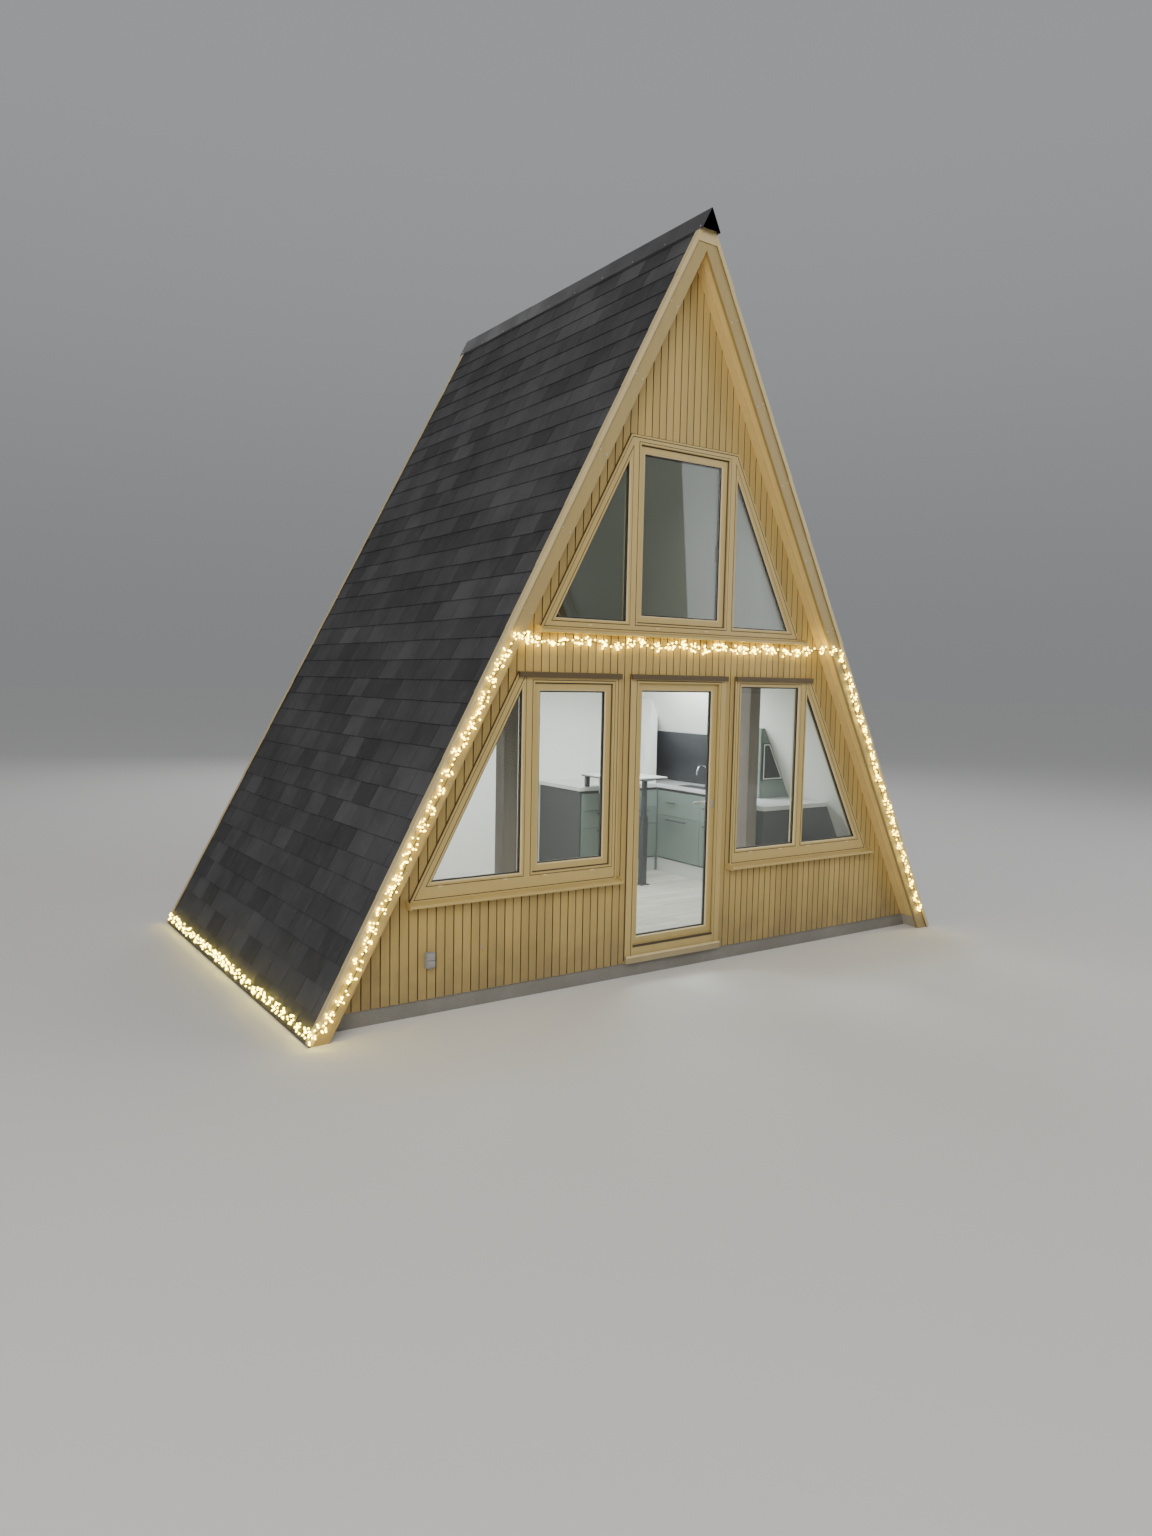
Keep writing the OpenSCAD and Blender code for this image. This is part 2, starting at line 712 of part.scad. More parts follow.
module socket_box() {
    box_w = 66;
    box_h = 100;
    box_d = 50;
    over_patio = 218;
    from_eave = 857;
    color("gray") translate([-eave_half_w + from_eave, front_y - box_d, plinth_h + over_patio])
        cube([box_w, box_d, box_h]);
}

module light_string() {
    rings = len(string_route);
    n = string_sides;
    color("lightyellow") polyhedron(
        points = [for (i = [0:rings - 1]) each ring(string_route, i)],
        faces = concat([[for (k = [0:n - 1]) k]],
            [for (i = [0:rings - 2], k = [0:n - 1])
                [i * n + k, (i + 1) * n + k, (i + 1) * n + (k + 1) % n, i * n + (k + 1) % n]],
            [[for (k = [n - 1:-1:0]) (rings - 1) * n + k]]));
}

base_slab();
floor_deck();
loft_floor();
posts();
roof_left();
roof_right();
roofing_left();
roofing_right();
ridge_cap();
barge_front();
barge_back();
lining_left();
lining_right();
front_wall_left();
front_wall_right();
front_wall_gable();
back_wall();
siding_left();
siding_right();
siding_gable();
siding_back();
window_frame_left();
window_frame_right();
window_frame_upper();
window_frame_back();
sash_left();
sash_upper();
sash_back();
glass_ground();
glass_upper();
glass_back();
window_sills();
drip_strips();
door_frame();
door_threshold();
door_hinges();
leaf_hinges();
door_leaf();
door_glass();
door_handle();
kitchen_units();
kitchen_panels();
worktop();
kitchen_wall();
tall_cupboard();
splashback();
tap();
bar_table();
socket_box();
light_string();
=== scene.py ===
"""Looks of the A-frame cabin: cladding, shingles, glazing, fittings, kitchen fronts and lights.

Metres, +X along the front, +Y into the building, +Z up, with the origin as the frame has it.
"""
import logging
import math
import random
from collections.abc import Callable, Iterable, Sequence
from dataclasses import dataclass, field
from enum import Enum, IntEnum
from itertools import product
from typing import Any

import bmesh
import bpy
from mathutils import Matrix, Vector


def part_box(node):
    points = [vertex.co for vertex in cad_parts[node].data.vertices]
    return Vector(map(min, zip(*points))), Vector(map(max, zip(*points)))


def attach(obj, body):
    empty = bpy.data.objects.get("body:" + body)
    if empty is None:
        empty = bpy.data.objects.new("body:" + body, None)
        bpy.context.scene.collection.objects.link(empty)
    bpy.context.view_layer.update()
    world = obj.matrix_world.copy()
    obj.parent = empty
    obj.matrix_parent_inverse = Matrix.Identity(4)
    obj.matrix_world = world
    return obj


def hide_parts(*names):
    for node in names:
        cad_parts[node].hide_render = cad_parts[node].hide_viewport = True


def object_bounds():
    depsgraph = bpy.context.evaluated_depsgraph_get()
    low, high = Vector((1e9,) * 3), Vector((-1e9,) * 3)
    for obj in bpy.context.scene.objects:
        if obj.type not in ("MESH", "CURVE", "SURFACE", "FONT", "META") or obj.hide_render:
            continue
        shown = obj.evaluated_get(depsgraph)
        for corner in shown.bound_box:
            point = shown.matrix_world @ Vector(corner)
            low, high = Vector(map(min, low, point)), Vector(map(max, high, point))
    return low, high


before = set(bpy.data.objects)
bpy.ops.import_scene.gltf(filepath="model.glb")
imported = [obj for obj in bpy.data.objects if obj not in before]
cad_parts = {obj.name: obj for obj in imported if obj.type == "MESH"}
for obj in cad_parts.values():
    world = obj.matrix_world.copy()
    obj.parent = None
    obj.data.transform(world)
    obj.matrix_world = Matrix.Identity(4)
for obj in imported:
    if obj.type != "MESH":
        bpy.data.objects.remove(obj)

CAD_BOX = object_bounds()
LOG = logging.getLogger("cabin")

# A span under TINY doesn't count, points within WELD become one, and SEAT is how deep small pieces sink in.
TINY = 1e-6
WELD = 1e-5
SEAT = 0.0005
BEVEL_ANGLE = math.radians(30)
SMOOTH_ANGLE = math.radians(38)

Colour = tuple[float, float, float]
Place = tuple[float, float, float]
Spot = tuple[float, float]
Point = Sequence[float]
Outline = list[Spot]
Profile = list[Spot]
Node = bpy.types.Node
Socket = bpy.types.NodeSocket
Tree = bpy.types.NodeTree
Outputs = bpy.types.bpy_prop_collection


class Body(Enum):
    """The bodies that pieces ride on."""

    CABIN = "cabin"
    DOOR = "door"


class Side(IntEnum):
    """The left and the right half, seen from the front."""

    LEFT = -1
    RIGHT = 1


class Gable(IntEnum):
    """The front gable and the back gable, which mirrors it."""

    FRONT = 1
    BACK = -1


class Grain(Enum):
    """Which way the fibres run, as a stretch of the texture along X, Y and Z."""

    UPRIGHT = (26.0, 26.0, 1.1)
    ACROSS = (1.1, 26.0, 26.0)
    INWARD = (26.0, 1.1, 26.0)
    EVEN = (9.0, 9.0, 9.0)


# Shader nodes


class Nodes:
    """Adds shader nodes to a tree with short calls."""

    def __init__(self, tree: Tree) -> None:
        """Keeps the tree that nodes are added to."""
        self.tree = tree

    def add(self, kind: str, inputs: dict[Any, Any] | None = None, **settings: Any) -> Node:
        """Adds one node.

        Args:
            kind: The node's type name.
            inputs: Values or sockets for its inputs, by name or number.
            **settings: Properties of the node.

        Returns:
            The new node.
        """
        node = self.tree.nodes.new(kind)
        for key, value in settings.items():
            setattr(node, key, value)
        for key, value in (inputs or {}).items():
            if isinstance(value, Socket):
                self.tree.links.new(value, node.inputs[key])
            else:
                node.inputs[key].default_value = value
        return node

    def effect(self, effect: "Effect", inputs: dict[str, Any] | None = None) -> Outputs:
        """Places a shared effect with its own values and returns its outputs."""
        return self.add("ShaderNodeGroup", inputs, node_tree=effect.tree()).outputs

    def maths(self, operation: str, *values: Any, clamp: bool = False) -> Socket:
        """Returns the result of a maths node on one, two or three numbers."""
        inputs = dict(enumerate(values))
        return self.add("ShaderNodeMath", inputs, operation=operation, use_clamp=clamp).outputs[0]

    def vectors(self, operation: str, first: Any, second: Any) -> Node:
        """Adds a vector maths node on two vectors."""
        return self.add("ShaderNodeVectorMath", {0: first, 1: second}, operation=operation)

    def mask(self, value: Any, low: float, high: float, least: float = 0.0, most: float = 1.0) -> Socket:
        """Returns least where the value is under low, most over high, and a smooth step between."""
        inputs = {"Value": value, "From Min": low, "From Max": high, "To Min": least, "To Max": most}
        return self.add("ShaderNodeMapRange", inputs, interpolation_type="SMOOTHSTEP").outputs[0]

    def mix(self, factor: Any, first: Any, second: Any) -> Socket:
        """Returns a mix of two colours."""
        inputs = {0: factor, 6: colour(first), 7: colour(second)}
        return self.add("ShaderNodeMix", inputs, data_type="RGBA").outputs[2]

    def wash(self, look: Any, over: Any, mask: Any, share: float) -> Socket:
        """Returns a colour with a share of another laid over it where the mask is 1."""
        return self.mix(self.maths("MULTIPLY", mask, share), look, over)

    def toned(self, look: Any, tone: Any, reach: float) -> Socket:
        """Returns a colour made darker or lighter by a board's own tone."""
        value = self.maths("MULTIPLY_ADD", tone, reach, 1.0)
        return self.add("ShaderNodeHueSaturation", {"Value": value, "Color": look}).outputs[0]

    def noise(self, vector: Any, scale: Any, detail: float = 3.0) -> Socket:
        """Returns the value of a noise texture."""
        inputs = {"Vector": vector, "Scale": scale, "Detail": detail}
        return self.add("ShaderNodeTexNoise", inputs).outputs["Fac"]

    def place(self) -> Socket:
        """Returns the place on the object."""
        return self.add("ShaderNodeTexCoord").outputs["Object"]

    def normal(self) -> Socket:
        """Returns the direction that the surface faces."""
        return self.add("ShaderNodeNewGeometry").outputs["Normal"]

    def upward(self, vector: Any) -> Socket:
        """Returns the Z of a vector."""
        return self.add("ShaderNodeSeparateXYZ", {0: vector}).outputs["Z"]


def colour(value: Any) -> Any:
    """Returns a colour with an alpha of 1, or a socket as it is."""
    return (*value, 1.0) if isinstance(value, tuple) else value


@dataclass(frozen=True)
class Effect:
    """A shader group that several materials share.

    Its inputs have default values, its outputs are numbers, and wire adds the nodes between them.
    """

    name: str
    inputs: dict[str, Any]
    outputs: tuple[str, ...]
    wire: Callable[[Nodes, Outputs], dict[str, Socket]]

    def tree(self) -> Tree:
        """Makes the group on first use.

        Returns:
            The group.
        """
        tree = bpy.data.node_groups.get(self.name)
        if tree:
            return tree
        tree = bpy.data.node_groups.new(self.name, "ShaderNodeTree")
        for label, default in self.inputs.items():
            kind = "NodeSocketVector" if isinstance(default, tuple) else "NodeSocketFloat"
            tree.interface.new_socket(label, in_out="INPUT", socket_type=kind).default_value = default
        for label in self.outputs:
            tree.interface.new_socket(label, in_out="OUTPUT", socket_type="NodeSocketFloat")
        nodes = Nodes(tree)
        given = nodes.add("NodeGroupInput").outputs
        result = nodes.add("NodeGroupOutput")
        for label, socket in self.wire(nodes, given).items():
            tree.links.new(socket, result.inputs[label])
        return tree


def wire_tone(nodes: Nodes, _given: Outputs) -> dict[str, Socket]:
    """Reads the tone that the mesh carries for each board, from -0.5 to 0.5."""
    return {"Tone": nodes.add("ShaderNodeAttribute", attribute_name="tone").outputs["Fac"]}


def wire_fibre(nodes: Nodes, given: Outputs) -> dict[str, Socket]:
    """Draws wood fibres and pores along the grain, and shifts them from board to board.

    Args:
        nodes: The group's nodes.
        given: The group's inputs.

    Returns:
        What feeds each output.
    """
    shift = nodes.maths("MULTIPLY", given["Tone"], 37.0)
    offset = nodes.add("ShaderNodeCombineXYZ", {0: shift, 1: shift, 2: shift}).outputs[0]
    moved = nodes.vectors("ADD", nodes.place(), offset).outputs[0]
    stretched = nodes.vectors("MULTIPLY", moved, given["Stretch"]).outputs[0]
    pores = nodes.noise(stretched, scale=7.0, detail=2.0)
    return {"Grain": nodes.noise(stretched, scale=1.0, detail=5.0), "Pores": nodes.mask(pores, 0.48, 0.7)}


def wire_mottle(nodes: Nodes, given: Outputs) -> dict[str, Socket]:
    """Draws soft patches and fine specks.

    Args:
        nodes: The group's nodes.
        given: The group's inputs.

    Returns:
        What feeds each output.
    """
    place = nodes.place()
    patches = nodes.noise(place, given["Patch"], detail=4.0)
    specks = nodes.noise(place, given["Speck"], detail=2.0)
    return {"Patches": nodes.mask(patches, 0.3, 0.7), "Specks": specks}


def wire_weather(nodes: Nodes, given: Outputs) -> dict[str, Socket]:
    """Draws splashed dirt near the ground, dust on ledges and rain streaks.

    Args:
        nodes: The group's nodes.
        given: The group's inputs.

    Returns:
        What feeds each output.
    """
    place = nodes.place()
    ragged = nodes.noise(place, scale=7.0, detail=5.0)
    height = nodes.maths("DIVIDE", nodes.upward(place), given["Reach"])
    low = nodes.maths("SUBTRACT", 1.0, height, clamp=True)
    splash = nodes.mask(nodes.maths("MULTIPLY", low, nodes.maths("ADD", ragged, 0.45)), 0.12, 0.95)
    level = nodes.mask(nodes.upward(nodes.normal()), 0.5, 1.0)
    dust = nodes.maths("MULTIPLY", level, nodes.mask(ragged, 0.35, 0.75))
    drawn_out = nodes.vectors("MULTIPLY", place, (17.0, 17.0, 0.9)).outputs[0]
    streaks = nodes.mask(nodes.noise(drawn_out, scale=1.0, detail=4.0), 0.5, 0.78)
    return {"Splash": splash, "Dust": dust, "Streaks": streaks}


def wire_wear_and_highlight(nodes: Nodes, given: Outputs) -> dict[str, Socket]:
    """Finds the edges of a piece where the normal differs from a rounded one, and breaks them up.

    Args:
        nodes: The group's nodes.
        given: The group's inputs.

    Returns:
        What feeds each output.
    """
    # The mask lightens edges, both as rubbed paint and as a painted highlight.
    rounded = nodes.add("ShaderNodeBevel", {"Radius": given["Radius"]}, samples=4).outputs[0]
    alike = nodes.vectors("DOT_PRODUCT", rounded, nodes.normal()).outputs["Value"]
    edge = nodes.mask(nodes.maths("SUBTRACT", 1.0, alike), 0.01, 0.16)
    broken = nodes.mask(nodes.noise(nodes.place(), scale=22.0), 0.35, 0.65)
    return {"Wear": nodes.maths("MULTIPLY", edge, broken)}


TONE = Effect("board_tone", {}, ("Tone",), wire_tone)
FIBRE = Effect("wood_fibre", {"Stretch": Grain.UPRIGHT.value, "Tone": 0.0}, ("Grain", "Pores"), wire_fibre)
MOTTLE = Effect("mottle", {"Patch": 2.0, "Speck": 200.0}, ("Patches", "Specks"), wire_mottle)
WEATHER = Effect("weather", {"Reach": 0.6}, ("Splash", "Dust", "Streaks"), wire_weather)
# Lightens edges, both as rubbed paint and as a painted highlight.
WEAR_AND_HIGHLIGHT = Effect("edge_wear_and_highlight", {"Radius": 0.004}, ("Wear",), wire_wear_and_highlight)


# Finishes


@dataclass(frozen=True)
class Finish:
    """A surface finish. Each kind of finish dresses its own shader."""

    name: str
    slot: str
    base: Colour
    roughness: float

    def material(self) -> bpy.types.Material:
        """Makes the finish's material on first use.

        Returns:
            The material.
        """
        made = bpy.data.materials.get(self.name)
        if made:
            return made
        made = bpy.data.materials.new(self.name)
        made.use_nodes = True
        made.node_tree.nodes.clear()
        nodes = Nodes(made.node_tree)
        surface = nodes.add("ShaderNodeBsdfPrincipled", {"Base Color": colour(self.base),
                                                         "Roughness": self.roughness})
        output = nodes.add("ShaderNodeOutputMaterial")
        made.node_tree.links.new(self.dress(nodes, surface), output.inputs["Surface"])
        return made

    def dress(self, nodes: Nodes, surface: Node) -> Socket:
        """Wires the look into the surface shader and returns the shader to show."""
        raise NotImplementedError

    def shade(self, gain: float, lift: float = 0.0) -> Colour:
        """Returns the base colour made darker or lighter."""
        return tuple(min(1.0, gain * c + lift) for c in self.base)

    @staticmethod
    def feed(nodes: Nodes, surface: Node, look: Any, rough: Any, height: Any, relief: float) -> Socket:
        """Feeds a colour, a roughness and a bump into the surface shader.

        Args:
            nodes: The material's nodes.
            surface: Its surface shader.
            look: The colour.
            rough: The roughness.
            height: The height of the bump, from 0 to 1.
            relief: The depth of the bump in metres.

        Returns:
            The shader to show.
        """
        bump = nodes.add("ShaderNodeBump", {"Height": height, "Strength": 1.0, "Distance": relief})
        for name, socket in (("Base Color", look), ("Roughness", rough), ("Normal", bump.outputs[0])):
            nodes.tree.links.new(socket, surface.inputs[name])
        return surface.outputs[0]


@dataclass(frozen=True)
class Timber(Finish):
    """Wood that shows its fibres, bare, oiled or under paint."""

    deep: Colour = (0.2, 0.15, 0.1)
    dirt: Colour = (0.10, 0.085, 0.06)
    grain: Grain = Grain.UPRIGHT
    fibres: float = 0.5
    pores: float = 0.35
    tones: float = 0.3
    patches: float = 0.16
    streaks: float = 0.25
    dusty: float = 0.5
    soiled: float = 0.5
    worn_and_highlit: float = 0.4
    relief: float = 0.0006

    def dress(self, nodes: Nodes, surface: Node) -> Socket:
        """Lays fibres, board tones, patches, dirt and edges lightened by rubbing and a painted highlight.

        Args:
            nodes: The material's nodes.
            surface: Its surface shader.

        Returns:
            The shader to show.
        """
        tone = nodes.effect(TONE)["Tone"]
        fibre = nodes.effect(FIBRE, {"Stretch": self.grain.value, "Tone": tone})
        mottle = nodes.effect(MOTTLE, {"Patch": 1.7, "Speck": 90.0})
        weather = nodes.effect(WEATHER, {"Reach": 0.75})
        wear_and_highlight = nodes.effect(WEAR_AND_HIGHLIGHT, {"Radius": 0.003})["Wear"]
        look = nodes.wash(self.base, self.deep, nodes.mask(fibre["Grain"], 0.36, 0.68), self.fibres)
        look = nodes.wash(look, self.dirt, fibre["Pores"], self.pores * self.fibres)
        look = nodes.toned(look, tone, self.tones)
        look = nodes.wash(look, self.deep, mottle["Patches"], self.patches)
        streaks = nodes.maths("MULTIPLY", weather["Streaks"], self.streaks)
        dust = nodes.maths("MULTIPLY", weather["Dust"], self.dusty)
        soil = nodes.maths("MAXIMUM", nodes.maths("MAXIMUM", weather["Splash"], streaks), dust)
        look = nodes.wash(look, self.dirt, soil, self.soiled)
        # Lighter edges: rubbed paint and a painted highlight.
        look = nodes.wash(look, self.shade(1.35, 0.05), wear_and_highlight, self.worn_and_highlit)
        rough = nodes.maths("MULTIPLY_ADD", mottle["Patches"], 0.12, self.roughness - 0.05)
        rough = nodes.maths("MULTIPLY_ADD", soil, 0.2 * self.soiled, rough, clamp=True)
        height = nodes.maths("MULTIPLY_ADD", mottle["Specks"], 0.25, fibre["Grain"])
        return self.feed(nodes, surface, look, rough, height, self.relief)


@dataclass(frozen=True)
class Metal(Finish):
    """Bare, brushed or painted metal."""

    dirt: Colour = (0.24, 0.22, 0.18)
    metallic: float = 1.0
    brushed: Grain = Grain.EVEN
    clouds: float = 0.12
    dusty: float = 0.3
    worn_and_highlit: float = 0.5
    relief: float = 0.00008

    def dress(self, nodes: Nodes, surface: Node) -> Socket:
        """Lays brushing, clouding, dust, and rubbed edges with a painted highlight, over the metal.

        Args:
            nodes: The material's nodes.
            surface: Its surface shader.

        Returns:
            The shader to show.
        """
        surface.inputs["Metallic"].default_value = self.metallic
        stretch = tuple(8.0 * k for k in self.brushed.value)
        fibre = nodes.effect(FIBRE, {"Stretch": stretch, "Tone": 0.0})
        mottle = nodes.effect(MOTTLE, {"Patch": 3.0, "Speck": 400.0})
        weather = nodes.effect(WEATHER, {"Reach": 0.35})
        wear_and_highlight = nodes.effect(WEAR_AND_HIGHLIGHT, {"Radius": 0.002})["Wear"]
        look = nodes.wash(self.base, self.shade(0.72), mottle["Patches"], 2.0 * self.clouds)
        soil = nodes.maths("MAXIMUM", weather["Dust"], weather["Splash"])
        look = nodes.wash(look, self.dirt, soil, self.dusty)
        # Brighter edges: rubbed metal and a painted highlight.
        look = nodes.wash(look, self.shade(1.3, 0.04), wear_and_highlight, self.worn_and_highlit)
        rough = nodes.maths("MULTIPLY_ADD", fibre["Grain"], 0.14, self.roughness - 0.07)
        rough = nodes.maths("MULTIPLY_ADD", mottle["Patches"], self.clouds, rough, clamp=True)
        return self.feed(nodes, surface, look, rough, fibre["Grain"], self.relief)


@dataclass(frozen=True)
class Moulded(Finish):
    """Plastic, rubber, laminate and sprayed board: an even colour with a fine skin."""

    dirt: Colour = (0.3, 0.28, 0.24)
    mottled: float = 0.25
    skin: float = 160.0
    relief: float = 0.00002
    dusty: float = 0.2
    tones: float = 0.1

    def dress(self, nodes: Nodes, surface: Node) -> Socket:
        """Lays faint patches, dust and a fine skin over the colour.

        Args:
            nodes: The material's nodes.
            surface: Its surface shader.

        Returns:
            The shader to show.
        """
        tone = nodes.effect(TONE)["Tone"]
        mottle = nodes.effect(MOTTLE, {"Patch": 3.2, "Speck": self.skin})
        weather = nodes.effect(WEATHER, {"Reach": 0.4})
        look = nodes.wash(self.base, self.shade(0.8), mottle["Patches"], self.mottled)
        look = nodes.toned(look, tone, self.tones)
        look = nodes.wash(look, self.dirt, weather["Dust"], self.dusty)
        rough = nodes.maths("MULTIPLY_ADD", mottle["Patches"], 0.12, self.roughness - 0.04, clamp=True)
        return self.feed(nodes, surface, look, rough, mottle["Specks"], self.relief)


@dataclass(frozen=True)
class Mineral(Finish):
    """Concrete, stone and shingle granules."""

    deep: Colour = (0.1, 0.1, 0.1)
    dirt: Colour = (0.13, 0.12, 0.09)
    clouds: float = 0.6
    grit: float = 140.0
    pits: float = 0.5
    tones: float = 0.0
    soiled: float = 0.5
    relief: float = 0.0015

    def dress(self, nodes: Nodes, surface: Node) -> Socket:
        """Lays clouds, grit, pits, tones and splashed dirt over the colour.

        Args:
            nodes: The material's nodes.
            surface: Its surface shader.

        Returns:
            The shader to show.
        """
        tone = nodes.effect(TONE)["Tone"]
        mottle = nodes.effect(MOTTLE, {"Patch": 2.4, "Speck": self.grit})
        weather = nodes.effect(WEATHER, {"Reach": 0.5})
        cells = nodes.add("ShaderNodeTexVoronoi", {"Vector": nodes.place(), "Scale": 0.35 * self.grit})
        pit = nodes.maths("SUBTRACT", 1.0, nodes.mask(cells.outputs["Distance"], 0.05, 0.3))
        look = nodes.wash(self.base, self.deep, mottle["Patches"], self.clouds)
        look = nodes.mix(nodes.mask(mottle["Specks"], 0.5, 0.72), look, self.deep)
        look = nodes.wash(look, self.deep, pit, self.pits)
        look = nodes.toned(look, tone, self.tones)
        soil = nodes.maths("MAXIMUM", weather["Splash"], weather["Streaks"])
        look = nodes.wash(look, self.dirt, soil, self.soiled)
        rough = nodes.maths("MULTIPLY_ADD", mottle["Specks"], 0.16, self.roughness - 0.08, clamp=True)
        height = nodes.maths("MULTIPLY_ADD", pit, -0.6, mottle["Specks"])
        return self.feed(nodes, surface, look, rough, height, self.relief)


@dataclass(frozen=True)
class Glass(Finish):
    """Clear window glass, which lets light through to the room."""

    ior: float = 1.32
    smears: float = 0.02

    def dress(self, nodes: Nodes, surface: Node) -> Socket:
        """Adds faint smears, and lets shadow and diffuse rays pass straight through.

        Args:
            nodes: The material's nodes.
            surface: Its surface shader.

        Returns:
            The shader to show.
        """
        surface.inputs["Transmission Weight"].default_value = 1.0
        surface.inputs["IOR"].default_value = self.ior
        mottle = nodes.effect(MOTTLE, {"Patch": 1.5, "Speck": 30.0})
        rough = nodes.maths("MULTIPLY", nodes.mask(mottle["Specks"], 0.6, 0.9), self.smears)
        nodes.tree.links.new(rough, surface.inputs["Roughness"])
        path = nodes.add("ShaderNodeLightPath").outputs
        through = nodes.maths("MAXIMUM", path["Is Shadow Ray"], path["Is Diffuse Ray"])
        clear = nodes.add("ShaderNodeBsdfTransparent", {"Color": colour(self.base)}).outputs[0]
        return nodes.add("ShaderNodeMixShader", {0: through, 1: surface.outputs[0], 2: clear}).outputs[0]


@dataclass(frozen=True)
class Glow(Finish):
    """The lit lamps of the string."""

    strength: float = 18.0
    warmth: Colour = (1.0, 0.85, 0.6)

    def dress(self, nodes: Nodes, surface: Node) -> Socket:
        """Lets the lamp shine with its own colour, a little uneven from lamp to lamp.

        Args:
            nodes: The material's nodes.
            surface: Its surface shader.

        Returns:
            The shader to show.
        """
        mottle = nodes.effect(MOTTLE, {"Patch": 40.0, "Speck": 300.0})
        warm = tuple(c * k for c, k in zip(self.base, self.warmth))
        look = nodes.mix(mottle["Patches"], self.base, warm)
        nodes.tree.links.new(look, surface.inputs["Emission Color"])
        surface.inputs["Emission Strength"].default_value = self.strength
        return surface.outputs[0]


